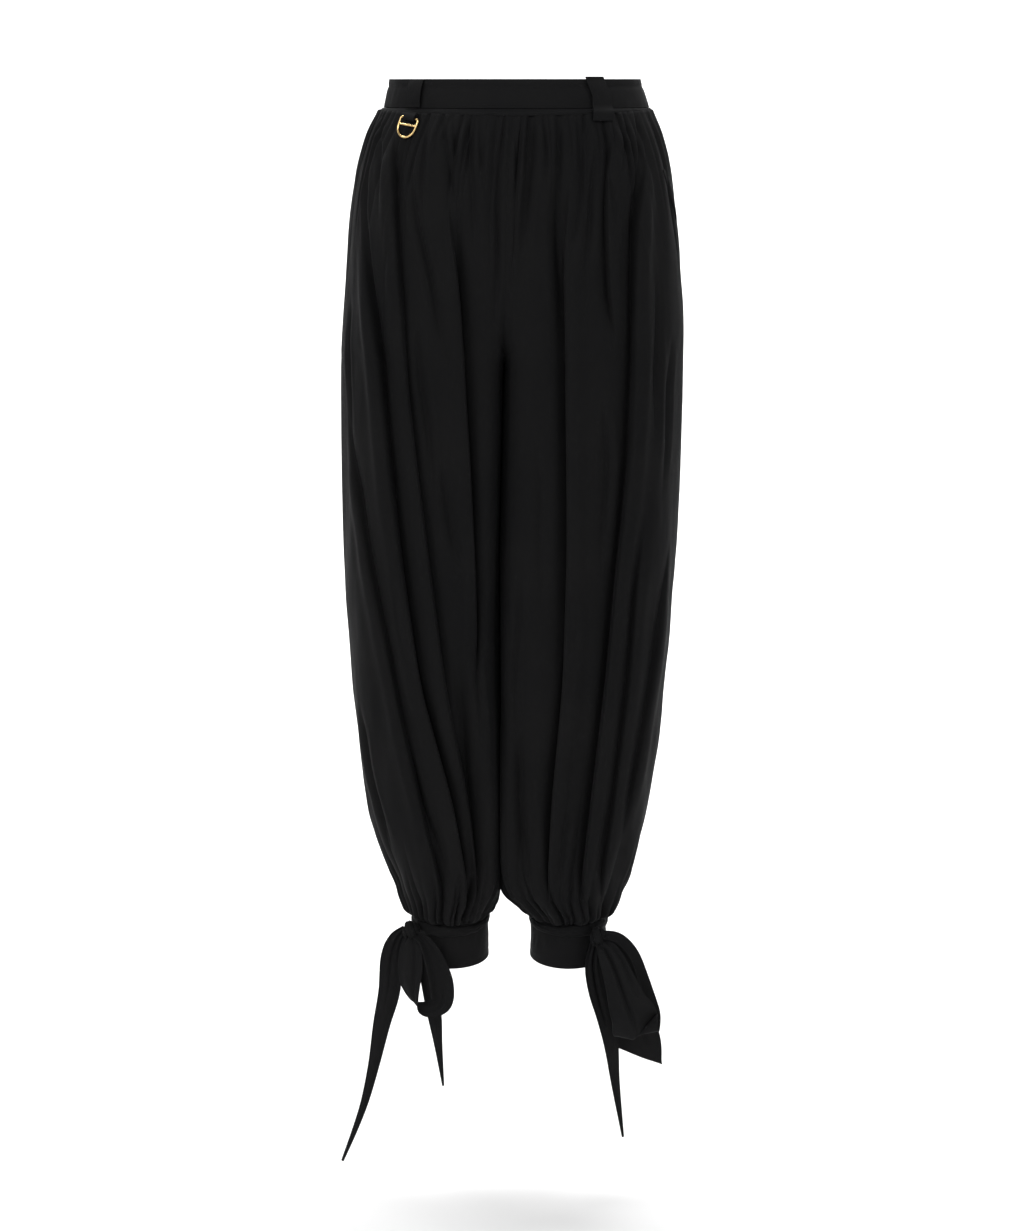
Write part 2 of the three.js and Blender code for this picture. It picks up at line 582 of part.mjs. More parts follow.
function buildKnot(side) {
  const { x, y, z, wide, deep, high } = KNOTS[side];
  const ball = mergeVertices(new THREE.IcosahedronGeometry(1, 2).deleteAttribute('uv')
    .deleteAttribute('normal'), 1e-4);
  ball.scale(wide, deep, high).rotateY(radians(20) * signOf(side)).translate(x, y, z);
  addPiece(`knot_${side}`, ball);
}

// A flat strip along a table of points, each with a width and a facing direction.
function buildStrip(name, rows) {
  const places = rows.map((r) => new THREE.Vector3(r.x, r.y, r.z));
  const curve = new THREE.CatmullRomCurve3(places, false, 'centripetal');
  const count = (rows.length - 1) * 3;
  const widths = [-0.5, 0, 0.5];
  const grid = (layer) => steps(count).map((t) => {
    const i = Math.min(rows.length - 2, Math.floor(t * (rows.length - 1)));
    const part = t * (rows.length - 1) - i;
    const width = mix(rows[i].width, rows[i + 1].width, part);
    const turn = radians(mix(rows[i].turn, rows[i + 1].turn, part));
    const tilt = radians(mix(rows[i].tilt, rows[i + 1].tilt, part));
    const along = curve.getTangent(t);
    const across = new THREE.Vector3(Math.cos(turn), Math.sin(turn), Math.tan(tilt));
    const side = across.addScaledVector(along, -across.dot(along)).normalize();
    const out = new THREE.Vector3().crossVectors(along, side).normalize();
    return widths.map((w) => curve.getPoint(t)
      .addScaledVector(side, w * width)
      .addScaledVector(out, layer + Math.min(1.5, width / 20) * Math.cos(2 * Math.PI * w)));
  });
  addPiece(name, wallGeometry(grid(STRIP_CLOTH / 2), grid(-STRIP_CLOTH / 2)));
}

// ---------- the garment ----------

buildWaist();
for (const side of ['right', 'left']) {
  for (const face of ['front', 'back']) buildPanel(side, face);
}
buildPocket();
buildBeltLoops();
buildRingTab();
buildRing();
for (const side of ['right', 'left']) {
  buildCuff(side);
  buildTieWrap(side);
  buildKnot(side);
}
for (const [name, rows] of Object.entries(TIES)) buildStrip(name, rows);

export default trousers;
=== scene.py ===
"""Gathered trousers with tied cuffs: the looks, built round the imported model.

Blender works in metres. The sizes and tables here are in millimetres, in the model's
own frame: the origin is the centre of the waist at the band's top edge, the front
faces -Y, +Z is up, and right and left are the wearer's, so right is at -X.
"""

import itertools
import math

import bpy
import numpy as np
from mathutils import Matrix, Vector


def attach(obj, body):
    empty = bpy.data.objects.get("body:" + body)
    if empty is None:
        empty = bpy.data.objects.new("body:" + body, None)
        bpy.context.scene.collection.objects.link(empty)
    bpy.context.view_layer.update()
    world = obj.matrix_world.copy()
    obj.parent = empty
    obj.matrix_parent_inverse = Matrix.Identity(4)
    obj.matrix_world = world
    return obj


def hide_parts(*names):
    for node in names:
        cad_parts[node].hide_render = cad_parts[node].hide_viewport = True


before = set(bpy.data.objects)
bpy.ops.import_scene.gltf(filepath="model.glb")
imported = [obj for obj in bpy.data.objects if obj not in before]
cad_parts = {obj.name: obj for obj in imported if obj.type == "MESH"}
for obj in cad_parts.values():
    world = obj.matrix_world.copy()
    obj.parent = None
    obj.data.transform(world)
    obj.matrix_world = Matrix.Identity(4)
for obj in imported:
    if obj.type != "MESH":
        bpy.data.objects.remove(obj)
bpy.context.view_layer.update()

MM = 0.001

# ---- sizes ----

SEAM_GAP = 0.3
BAND_HEIGHT = 27
BAND_TOP = dict(right=-128, left=128, depth=95)
BAND_BOTTOM = dict(right=-134, left=137, depth=100)
BAND_CLOTH = 3.0
BAND_PROUD = 1.1  # the rolled top edge stands this much higher
WELT_SIDE = 3.0
WELT_EXTRA = 4.0
ANKLE = -900
HEM = -952
CUFFS = dict(right=dict(x=-71, radius=41.0, seed=301), left=dict(x=59.5, radius=41.5, seed=401))
CUFF_DEPTH = 1.05
CUFF_FLARE = 1.0
CLOTH = 1.2  # how thick the shown cloth is
STRIP_CLOTH = 1.3

END_TURN = 0.0002  # radians that the bands stop short of the side seams

PANEL_TOP = -31.0
PANEL_COLUMNS = 240
PANEL_ROWS = 264
INNER_COLUMNS = 34  # of PANEL_COLUMNS, on the inside of the leg
CORNER = 8.0  # what these columns cover of the front beside it
SECTION_STEPS = 700
SIDE_TRIM = 0.01  # what each panel leaves free at its seams
CLOSED = 0.001  # half of what a closed centre seam leaves open
PARTED = 0.9999  # from this share on, the legs are apart
PANEL_SEEDS = dict(right_front=11, left_front=47, right_back=211, left_back=247)

# ---- tables ----


def table(columns, *rows):
    """Rows with named columns, as one array for each name."""
    return {name: np.array([row[i] for row in rows], float) for i, name in enumerate(columns)}


def by_panel(columns, **groups):
    """Rows with named columns for each panel, numbered through the whole table."""
    number = itertools.count()
    return {panel: [dict(zip(columns, row), number=next(number)) for row in rows]
            for panel, rows in groups.items()}


# Sections of the legs by height. parted grows to 1 where the legs part, shift is how far
# a section lies back, and outer and inner are how square its two sides are.
OUTLINE = table(
    ("z", "right", "left", "middle", "parted", "depth", "shift", "outer", "inner"),
    (-27, -134, 137, 0, 0, 100, 0, 2, 2), (-31, -138, 139, 0, 0, 103, 0, 2, 2),
    (-44, -145, 145, -2, 0.02, 107, 0, 2.03, 2.1), (-68, -155, 154, -4, 0.08, 112, 1, 2.08, 2.2),
    (-92, -162, 160, -6, 0.14, 115, 2, 2.12, 2.4), (-128, -168, 165, -8, 0.26, 119, 4, 2.18, 2.7),
    (-165, -172, 170, -8, 0.4, 121, 6, 2.22, 3.1), (-200, -175, 173, -8, 0.54, 122, 7, 2.25, 3.4),
    (-227, -178, 176, -8, 0.68, 122, 7, 2.28, 3.7), (-252, -180, 177, -9, 0.87, 121, 7, 2.3, 3.9),
    (-277, -182, 177, -9, 1, 120, 6, 2.3, 4), (-290, -182, 177, -10, 1, 119, 6, 2.3, 4),
    (-328, -182, 176, -11, 1, 116, 5, 2.3, 4), (-379, -182, 175, -12, 1, 112, 4, 2.3, 4),
    (-430, -182, 174, -13, 1, 107, 2, 2.3, 4), (-483, -182, 172, -14, 1, 102, 1, 2.3, 4),
    (-535, -181, 168, -14, 1, 97, 0, 2.3, 4), (-589, -177, 166, -14, 1, 92, 0, 2.28, 4),
    (-643, -175, 160, -14, 1, 87, 0, 2.25, 3.9), (-697, -170, 157, -14, 1, 82, 0, 2.22, 3.8),
    (-752, -163, 150, -14, 1, 77, 0, 2.18, 3.5), (-780, -159, 146, -14, 1, 74, 0, 2.15, 3.3),
    (-808, -152, 140, -14, 1, 70, 0, 2.12, 3), (-836, -140, 132, -14, 1, 66, 0, 2.1, 2.7),
    (-856, -132, 127, -14, 1, 62, 0, 2.05, 2.4), (-868, -127, 122, -14, 1, 58, 0, 2.03, 2.3),
    (-878, -123, 118, -14, 1, 55, 0, 2.02, 2.2), (-890, -119, 113, -14, 1, 51, 0, 2, 2),
    (-900, -114, 104, -14, 1, 46, 0, 2, 2),
)
# How far each leg's inner side stays from the middle plane.
GAPS = table(
    ("z", "right", "left"),
    (-27, 0.15, 0.15), (-290, 0.15, 0.15), (-328, 0.3, 0.3), (-856, 0.3, 0.3), (-868, 0.5, 0.5),
    (-878, 4, 8), (-890, 11, 22), (-900, 14, 30),
)

# away is the distance from the middle plane at these heights. The cloth laps over on
# the outer side, and spread is how gently the hollow under it rises.
FOLD_HEIGHTS = (-60, -130, -200, -280, -380, -480, -620, -750, -860)
FOLDS = by_panel(
    ("top", "bottom", "fade", "away", "depth", "spread"),
    right_front=(
        (-330, -890, 90, (188, 180, 173, 165, 154, 135, 110, 84, 61), 12, 9),
        (-130, -895, 120, (145, 142, 138, 124, 113, 101, 82, 49, 32), 20, 10),
        (-36, -880, 60, (114, 109, 105, 97, 85, 72, 56, 32, 20), 13, 9),
        (-90, -620, 110, (57, 52, 45, 38, 30, 24, 20, 18, 18), 17, 9),
    ),
    left_front=(
        (-80, -895, 110, (54, 54, 54, 58, 62, 65, 62, 51, 47), 18, 10),
        (-38, -270, 60, (95, 96, 99, 107, 112, 118, 126, 134, 140), 13, 11),
        (-60, -890, 90, (132, 128, 125, 127, 127, 119, 108, 94, 83), 20, 13),
        (-420, -890, 120, (154, 152, 150, 147, 145, 140, 133, 119, 104), 12, 12),
        (-460, -800, 110, (180, 180, 180, 180, 178, 173, 158, 138, 106), 10, 11),
    ),
    right_back=(
        (-80, -600, 100, (56, 53, 49, 42, 34, 27, 22, 20, 20), 13, 15),
        (-50, -890, 100, (100, 96, 92, 88, 84, 76, 62, 46, 34), 15, 15),
        (-200, -880, 120, (138, 136, 134, 134, 130, 126, 112, 92, 74), 11, 13),
    ),
    left_back=(
        (-60, -560, 100, (62, 58, 54, 48, 38, 30, 26, 24, 24), 13, 15),
        (-70, -890, 110, (110, 106, 104, 104, 100, 94, 80, 62, 48), 15, 15),
        (-260, -885, 120, (150, 150, 150, 152, 150, 146, 132, 112, 90), 10, 13),
    ),
)

# Softer creases between them: how far from the middle plane each runs at its top, middle
# and bottom. One that starts above SEAM_REACH comes straight out of the seam, and the
# others are FREE_DEEPER times as deep as the table says.
SEAM_REACH = -50
FREE_DEEPER = 1.45
CREASES = by_panel(
    ("top", "bottom", "high", "middle", "low", "depth", "width"),
    right_front=(
        (-31, -141, 134, 128, 127, 2.6, 3.0), (-37, -170, 84, 84, 76, 3.2, 3.2),
        (-65, -290, 99, 79, 53, 3.8, 4.2), (-31, -160, 70, 57, 47, 3.4, 3.6),
        (-31, -110, 59, 53, 49, 2.4, 2.8), (-30, -190, 45, 35, 31, 3.4, 4.0),
        (-30, -120, 34, 27, 19, 2.6, 3.0), (-31, -300, 14, 9, 12, 4.2, 5.0),
        (-68, -260, 141, 141, 134, 2.4, 3.4), (-207, -380, 160, 160, 155, 2.6, 4.2),
        (-211, -450, 94, 79, 63, 3.0, 4.6), (-360, -510, 64, 54, 40, 2.8, 4.2),
        (-479, -670, 114, 101, 80, 2.6, 4.6), (-500, -720, 30, 25, 15, 3.0, 4.0),
        (-560, -892, 47, 35, 20, 7.0, 11.0), (-642, -830, 151, 139, 114, 3.4, 5.0),
        (-665, -860, 107, 81, 46, 3.0, 4.4),
    ),
    left_front=(
        (-30, -190, 18, 21, 12, 3.8, 4.0), (-31, -110, 29, 35, 39, 2.6, 3.0),
        (-31, -260, 47, 50, 54, 4.0, 4.6), (-33, -230, 69, 70, 53, 4.0, 4.0),
        (-60, -200, 84, 82, 78, 3.8, 5.0), (-31, -170, 99, 105, 108, 2.6, 3.0),
        (-31, -120, 112, 110, 110, 2.2, 2.6), (-40, -180, 123, 129, 127, 3.0, 3.4),
        (-30, -130, 1, 6, 6, 2.6, 3.0), (-174, -380, 148, 152, 153, 2.6, 4.6),
        (-245, -430, 165, 167, 164, 2.2, 4.6), (-300, -520, 99, 105, 98, 3.0, 5.0),
        (-355, -560, 36, 41, 42, 1.8, 6.0), (-470, -720, 21, 15, 10, 2.2, 5.0),
        (-500, -700, 76, 73, 66, 2.4, 4.4), (-640, -894, 14, 20, 29, 7.0, 10.0),
        (-744, -880, 72, 64, 54, 3.6, 4.2),
    ),
    right_back=(
        (-31, -170, 30, 34, 28, 3.4, 3.8), (-31, -240, 76, 70, 60, 3.8, 4.2),
        (-40, -150, 118, 120, 118, 3.0, 3.2), (-160, -400, 110, 100, 88, 3.0, 4.6),
        (-330, -560, 60, 54, 46, 2.6, 4.6), (-420, -640, 158, 152, 140, 2.8, 4.8),
        (-600, -880, 52, 42, 28, 7.0, 7.0),
    ),
    left_back=(
        (-31, -130, 22, 20, 26, 2.8, 3.2), (-31, -280, 84, 82, 74, 3.8, 4.4),
        (-45, -190, 130, 128, 126, 3.0, 3.4), (-200, -470, 74, 66, 58, 2.8, 4.6),
        (-300, -520, 128, 130, 124, 2.6, 4.4), (-480, -700, 166, 160, 140, 2.8, 4.8),
        (-640, -885, 40, 32, 24, 7.0, 7.0),
    ),
)

# ---- numbers ----


def mix(a, b, t):
    return a + (b - a) * t


def smooth(t):
    t = np.clip(t, 0, 1)
    return t * t * (3 - 2 * t)


def rounded(values, reach):
    """Values along a line, blurred over a number of steps."""
    offsets = np.arange(-3 * reach, 3 * reach + 1)
    weights = np.exp(-0.5 * (offsets / reach) ** 2)
    padded = np.pad(values, 3 * reach, mode="edge")
    return np.convolve(padded, weights / weights.sum(), mode="valid")


FINE_Z = np.arange(float(ANKLE), 1.0 - BAND_HEIGHT, 1.0)


def read_outline(name, z):
    """A column of OUTLINE at heights z, with its corners rounded off."""
    fine = np.interp(FINE_Z, OUTLINE["z"][::-1], OUTLINE[name][::-1])
    if name == "parted":
        fine = rounded(fine, 6)
    else:
        end = np.clip(np.minimum(-BAND_HEIGHT - FINE_Z, FINE_Z - ANKLE) / 12, 0, 1)
        fine = mix(fine, rounded(fine, 9), end)
    return np.interp(z, FINE_Z, fine)


def noise(x, y, seed):
    """Smooth noise from -1 to 1 with one feature a unit."""
    lattice = np.random.default_rng(seed).uniform(-1, 1, (64, 64))
    x0, y0 = np.floor(x).astype(int), np.floor(y).astype(int)
    tx, ty = smooth(x - x0), smooth(y - y0)
    at = lambda i, j: lattice[i % 64, j % 64]
    low = mix(at(x0, y0), at(x0 + 1, y0), tx)
    high = mix(at(x0, y0 + 1), at(x0 + 1, y0 + 1), tx)
    return mix(low, high, ty)


def unit(vectors):
    return vectors / np.linalg.norm(vectors, axis=-1, keepdims=True)


def steps(n):
    """Even places from 0 to 1, down a grid."""
    return np.linspace(0, 1, n)[:, None]


def breadth(n):
    """Even places from -0.5 to 0.5, across a grid."""
    return np.linspace(-0.5, 0.5, n)[None, :]


def turns(n):
    """Even angles once round, across a grid."""
    return np.linspace(0, 2 * math.pi, n, endpoint=False)[None, :]


def crease(distance, width):
    """A narrow valley or ridge with a soft bottom and long shoulders."""
    return 1 / (1 + (distance / width) ** 2) ** 1.25


# ---- meshes ----


def link_object(name, data):
    obj = bpy.data.objects.new(name, data)
    bpy.context.collection.objects.link(obj)
    return obj


def new_object(name, points, faces, uvs=None):
    mesh = bpy.data.meshes.new(name)
    mesh.from_pydata((np.asarray(points) * MM).tolist(), [], faces)
    mesh.shade_smooth()
    if uvs is not None:
        layer = mesh.uv_layers.new(name="cloth")
        corner_points = np.empty(len(mesh.loops), dtype=np.int32)
        mesh.loops.foreach_get("vertex_index", corner_points)
        layer.data.foreach_set("uv", (np.asarray(uvs)[corner_points] * MM).ravel())
    return link_object(name, mesh)


def grid_quads(rows, columns, start, flip=False, ring=False):
    """The faces of a grid of points. A ring's last column joins its first."""
    spans = columns if ring else columns - 1
    r, c = np.meshgrid(np.arange(rows - 1), np.arange(spans), indexing="ij")
    a, b = start + r * columns + c, start + r * columns + (c + 1) % columns
    quads = np.stack((a, a + columns, b + columns, b), axis=-1).reshape(-1, 4)
    return quads[:, ::-1] if flip else quads


def stitched_rim(fine, coarse, flip):
    """Triangles between an edge and a parallel one with half as many points."""
    faces = []
    for i in range(len(coarse) - 1):
        a, b, c = fine[2 * i], fine[2 * i + 1], fine[2 * i + 2]
        p, q = coarse[i], coarse[i + 1]
        faces += [(a, b, p), (b, q, p), (b, c, q)]
    return [f[::-1] for f in faces] if flip else faces


def panel_object(name, outer, inner, uvs):
    """A closed cloth panel: a fine outer side, and an inner side half as fine."""
    rows, columns = outer.shape[:2]
    half_rows, half_columns = inner.shape[:2]
    start = rows * columns
    points = np.vstack((outer.reshape(-1, 3), inner.reshape(-1, 3)))
    all_uvs = np.vstack((uvs.reshape(-1, 2), uvs[::2, ::2].reshape(-1, 2)))
    faces = grid_quads(rows, columns, 0).tolist()
    faces += grid_quads(half_rows, half_columns, start, flip=True).tolist()
    fine = np.arange(start).reshape(rows, columns)
    coarse = start + np.arange(half_rows * half_columns).reshape(half_rows, half_columns)
    faces += stitched_rim(fine[0], coarse[0], False)
    faces += stitched_rim(fine[-1], coarse[-1], True)
    faces += stitched_rim(fine[:, 0], coarse[:, 0], True)
    faces += stitched_rim(fine[:, -1], coarse[:, -1], False)
    return new_object(name, points, faces, all_uvs)


def wall_object(name, outer, inner, ring=False):
    """A closed wall between two grids of the same size."""
    rows, columns = outer.shape[:2]
    n = rows * columns
    points = np.vstack((outer.reshape(-1, 3), inner.reshape(-1, 3)))
    faces = grid_quads(rows, columns, 0, ring=ring).tolist()
    faces += grid_quads(rows, columns, n, flip=True, ring=ring).tolist()
    last = n - columns
    for a in range(columns if ring else columns - 1):
        b = (a + 1) % columns
        faces.append((a, b, n + b, n + a))
        faces.append((last + b, last + a, n + last + a, n + last + b))
    if not ring:
        for a in range(0, last, columns):
            b, c = a + columns, a + columns - 1
            faces.append((b, a, n + a, n + b))
            faces.append((c, c + columns, n + c + columns, n + c))
    uvs = surface_uvs(outer)
    return new_object(name, points, faces, np.vstack((uvs, uvs)))


def surface_uvs(grid):
    """Lengths along the two ways of a grid, in millimetres."""
    across = np.linalg.norm(np.diff(grid, axis=1), axis=2)
    along = np.linalg.norm(np.diff(grid, axis=0), axis=2)
    u = np.pad(np.cumsum(across, axis=1), ((0, 0), (1, 0)))
    v = np.pad(np.cumsum(along, axis=0), ((1, 0), (0, 0)))
    return np.stack((u, v), axis=-1).reshape(-1, 2)


def face_out(obj):
    """Turns the faces outwards when the closed mesh is inside out."""
    mesh = obj.data
    mesh.calc_loop_triangles()
    points = np.empty(len(mesh.vertices) * 3)
    mesh.vertices.foreach_get("co", points)
    points = points.reshape(-1, 3)
    corners = np.empty(len(mesh.loop_triangles) * 3, dtype=np.int32)
    mesh.loop_triangles.foreach_get("vertices", corners)
    a, b, c = points[corners.reshape(-1, 3)].transpose(1, 0, 2)
    if np.einsum("ij,ij->", a, np.cross(b, c)) < 0:
        mesh.flip_normals()


def soften_edges(obj, width, segments):
    bevel = obj.modifiers.new("soft_edges", "BEVEL")
    bevel.width = width * MM
    bevel.segments = segments
    bevel.limit_method = "ANGLE"
    bevel.angle_limit = math.radians(50)


# ---- materials ----


def set_inputs(node, **values):
    """Sets some of a node's inputs, with the spaces of their names as underscores."""
    for name, value in values.items():
        node.inputs[name.replace("_", " ")].default_value = value
    return node


def add_node(tree, kind, **values):
    return set_inputs(tree.nodes.new(kind), **values)


def join(tree, *links):
    for source, output, target, entry in links:
        tree.links.new(source.outputs[output], target.inputs[entry])


def new_material(name):
    material = bpy.data.materials.new(name)
    material.use_nodes = True
    return material, material.node_tree, material.node_tree.nodes["Principled BSDF"]


def noisy_material(name, scale, detail, stops, rough):
    """A material whose colour and roughness both follow one noise."""
    material, tree, shader = new_material(name)
    place = tree.nodes.new("ShaderNodeTexCoord")
    tone = add_node(tree, "ShaderNodeTexNoise", Scale=scale, Detail=detail)
    ramp = tree.nodes.new("ShaderNodeValToRGB")
    for element, (position, colour) in zip(ramp.color_ramp.elements, stops):
        element.position, element.color = position, (*colour, 1)
    spread = add_node(tree, "ShaderNodeMapRange", To_Min=rough[0], To_Max=rough[1])
    join(tree, (place, "Object", tone, "Vector"), (tone, "Fac", ramp, "Fac"),
         (ramp, "Color", shader, "Base Color"), (tone, "Fac", spread, "Value"),
         (spread, "Result", shader, "Roughness"))
    return material, tree, shader, place


def cloth_material(name, shade):
    """Matt black woven cloth with a fine twill, slubs and a soft sheen."""
    dark = (shade * 0.86, shade * 0.87, shade * 0.92)
    light = (shade * 1.14, shade * 1.13, shade * 1.16)
    material, tree, shader, place = noisy_material(
        name, 9, 4, ((0.3, dark), (0.72, light)), (0.6, 0.76))
    set_inputs(shader, Sheen_Weight=0.008, Sheen_Roughness=0.42,
               Sheen_Tint=(0.86, 0.86, 0.92, 1), Specular_IOR_Level=0.035)
    twill = add_node(tree, "ShaderNodeTexWave", Scale=900, Distortion=1.2, Detail=1)
    twill.bands_direction = "DIAGONAL"
    slub = add_node(tree, "ShaderNodeTexNoise", Scale=420, Detail=5)
    weave = add_node(tree, "ShaderNodeMix", Factor=0.55)
    bump = add_node(tree, "ShaderNodeBump", Strength=0.35, Distance=0.0004)
    join(tree, (place, "UV", twill, "Vector"), (place, "UV", slub, "Vector"),
         (twill, "Fac", weave, "A"), (slub, "Fac", weave, "B"),
         (weave, "Result", bump, "Height"), (bump, "Normal", shader, "Normal"))
    return material


def gold_material():
    stops = (0, (0.72, 0.46, 0.16)), (1, (0.95, 0.72, 0.36))
    material, _, shader, _ = noisy_material("polished_gold", 260, 6, stops, (0.12, 0.3))
    set_inputs(shader, Metallic=1)
    return material


# The band and the ties are the same black cloth as the legs with a lighter base colour: painted
# light, for the brighter light that they catch.
LEG_CLOTH = cloth_material("leg_cloth", 0.0079)
BAND_CLOTH_LOOK = cloth_material("band_cloth", 0.0090)
TIE_CLOTH = cloth_material("tie_cloth", 0.0092)
GOLD = gold_material()


def dress(obj, node, material=LEG_CLOTH):
    """Rides a cloth piece on the trousers, in place of its solid."""
    face_out(obj)
    obj.data.materials.append(material)
    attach(obj, "trousers")
    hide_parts(node)


def sew(node, outer, inner, material=LEG_CLOTH, soft=0, cuts=3, ring=False):
    """A closed cloth wall between two grids, with soft edges, in place of a solid."""
    obj = wall_object("cloth_" + node, outer, inner, ring)
    if soft:
        soften_edges(obj, soft, cuts)
    dress(obj, node, material)


# ---- leg panels ----

SWAY = 2.4  # how far the centre seams wander to the side


def fork_hollow(away, z):
    """How far the cloth sinks in along the middle, below the fork."""
    return 6.0 * smooth((-165 - z) / 110) * np.exp(-((away / 6.5) ** 2))


def leg_section(side, z):
    """A panel's section at a height, in even steps from the middle to the side seam."""
    row = {name: float(read_outline(name, z)) for name in OUTLINE if name != "z"}
    row["inner"] += 3 * smooth((z + 880) / 60)
    gap = float(np.interp(z, GAPS["z"][::-1], GAPS[side][::-1]))
    reach = abs(row[side] - row["middle"])
    parted = row["parted"] >= PARTED
    half = (reach - gap) / 2 if parted else reach / (1 + row["parted"])
    centre = reach - half
    cut = np.clip((centre - gap) / half, 0, 1) ** (row["inner"] / 2)
    start = math.pi if parted else math.acos(-cut)
    angle = start * (1 - np.linspace(0, 1, SECTION_STEPS))
    power = 2 / np.where(angle > math.pi / 2, row["inner"], row["outer"])
    away = centre + half * np.sign(np.cos(angle)) * np.abs(np.cos(angle)) ** power
    deep = row["depth"] * np.abs(np.sin(angle)) ** power
    length = np.concatenate(([0], np.cumsum(np.hypot(np.diff(away), np.diff(deep)))))
    even = np.linspace(0, length[-1], SECTION_STEPS)
    away, deep = np.interp(even, length, away), np.interp(even, length, deep)
    on_inside = (away < centre) & (deep < 0.8 * row["depth"])
    inside = float(even[on_inside].max()) if on_inside.any() else 0.0
    along = np.stack((np.gradient(away), np.gradient(deep)))
    along = np.stack([rounded(values, 4) for values in along])
    along /= np.linalg.norm(along, axis=0)
    return dict(row=row, gap=gap, away=away, deep=deep, along=along, even=even, inside=inside)


class Panel:
    """The smooth form of one leg panel, before any fold, over a grid of places."""

    def __init__(self, side, face, z, columns):
        self.name = f"{side}_{face}"
        self.sign = 1 if side == "left" else -1
        self.back = 1 if face == "back" else -1
        levels = np.clip(np.median(z, axis=1), ANKLE, -BAND_HEIGHT)
        parts = [leg_section(side, level) for level in levels]
        self.levels = levels
        self.z = z
        shape = (len(levels), len(columns))
        for name in ("away", "deep", "on_away", "on_deep", "place", "share"):
            setattr(self, name, np.zeros(shape))
        self.gap = np.array([p["gap"] for p in parts])[:, None]
        self.least = np.zeros_like(self.gap)
        self.middle = np.array([p["row"]["middle"] for p in parts])[:, None]
        self.shift = np.array([p["row"]["shift"] for p in parts])[:, None]
        self.parts = parts
        inner_share = INNER_COLUMNS / PANEL_COLUMNS
        for r, part in enumerate(parts):
            total = part["even"][-1]
            bend = part["inside"] + CORNER
            wanted = np.where(
                columns < inner_share,
                mix(SIDE_TRIM, bend, columns / inner_share),
                mix(bend, total - SIDE_TRIM, (columns - inner_share) / (1 - inner_share)))
            pick = lambda values: np.interp(wanted, part["even"], values)
            self.away[r], self.deep[r] = pick(part["away"]), pick(part["deep"])
            self.on_away[r], self.on_deep[r] = pick(part["along"][0]), pick(part["along"][1])
            self.place[r] = wanted - part["inside"]
            self.share[r] = wanted / total
            if part["row"]["parted"] < PARTED:
                self.away[r] -= (part["gap"] - CLOSED) * np.exp(-wanted / 2)
                self.least[r] = CLOSED
            else:
                self.least[r] = 0.35 * part["gap"]
        self.face_length = np.array([p["even"][-1] - p["inside"] for p in parts])[:, None]
        self.length = np.array([p["even"][-1] for p in parts])[:, None]
        self.out_away, self.out_deep = -self.on_deep, self.on_away

    def place_at(self, away):
        """Lengths over the panel from the front corner, at a distance from the middle each row."""
        places = []
        for part, wanted in zip(self.parts, away):
            first = int(np.searchsorted(part["even"], part["inside"]))
            places.append(np.interp(wanted, part["away"][first:], part["even"][first:]))
        inside = np.array([p["inside"] for p in self.parts])
        return (np.array(places) - inside)[:, None]

    def points(self, height, slide):
        """World points at a height off the form, slid along it towards the side seam."""
        away = self.away + self.out_away * height + self.on_away * slide
        deep = self.deep + self.out_deep * height + self.on_deep * slide
        away = np.maximum(self.least, away)
        y = self.shift + self.back * (deep - fork_hollow(self.away, self.z))
        sway = SWAY * np.sin(y / 45 + 0.3 * np.sin(self.z / 60)) * np.exp(-away / 30)
        return np.stack((self.middle + self.sign * away + sway, y, self.z), axis=-1)


def read_path(values, z):
    fine = np.interp(FINE_Z, FOLD_HEIGHTS[::-1], values[::-1])
    return float(np.interp(z, FINE_Z, rounded(fine, 22)))


def ply_over(distance, depth, spread):
    """One ply lapping over the next: height and slide, at a distance outwards."""
    lip = np.exp(-(((distance - 8) / 9) ** 2))
    lip_end = np.where(distance < 0, np.exp(-((distance / 4) ** 2)), 1)
    steep = np.exp(-((np.maximum(distance, 0) / 2.8) ** 2))
    gentle = np.exp(np.minimum(distance, 0) / spread)
    height = 0.28 * lip * lip_end - 0.72 * np.where(distance > 0, steep, gentle)
    slide = -0.3 * np.exp(-(((distance - 4.5) / 3.6) ** 2))
    return depth * height, depth * slide


def long_folds(panel):
    """The folds of the table."""
    height, slide = np.zeros_like(panel.z), np.zeros_like(panel.z)
    for fold in FOLDS[panel.name]:
        strength = (smooth((fold["top"] - panel.z) / fold["fade"])
                    * smooth((panel.z - fold["bottom"]) / 70))
        line = panel.place_at([read_path(fold["away"], level) for level in panel.levels])
        distance = panel.place - line - 0.2 * fold["depth"]
        up, over = ply_over(distance, fold["depth"] * strength, fold["spread"])
        height += up
        slide += over
    return height, slide


def soft_creases(panel):
    """The creases of the table, each a soft trough between low shoulders."""
    height = np.zeros_like(panel.z)
    for row in CREASES[panel.name]:
        t = np.clip((row["top"] - panel.levels) / (row["top"] - row["bottom"]), 0, 1)
        away = (row["high"] * (1 - t) * (1 - 2 * t) + 4 * row["middle"] * t * (1 - t)
                + row["low"] * t * (2 * t - 1) + 0.9 * np.sin(panel.levels / 19 + row["number"]))
        distance = panel.place - panel.place_at(away)
        from_seam = row["top"] > SEAM_REACH
        strength = smooth((1 - t) / 0.5) * (1 if from_seam else smooth(t / 0.3))
        wide = 0.8 * row["width"]
        trough = crease(distance, wide)
        shoulders = crease(np.abs(distance) - 2.7 * wide, 1.3 * wide)
        depth = row["depth"] * (1.0 if from_seam else FREE_DEEPER)
        height += depth * strength[:, None] * (0.32 * shoulders - trough)
    return height


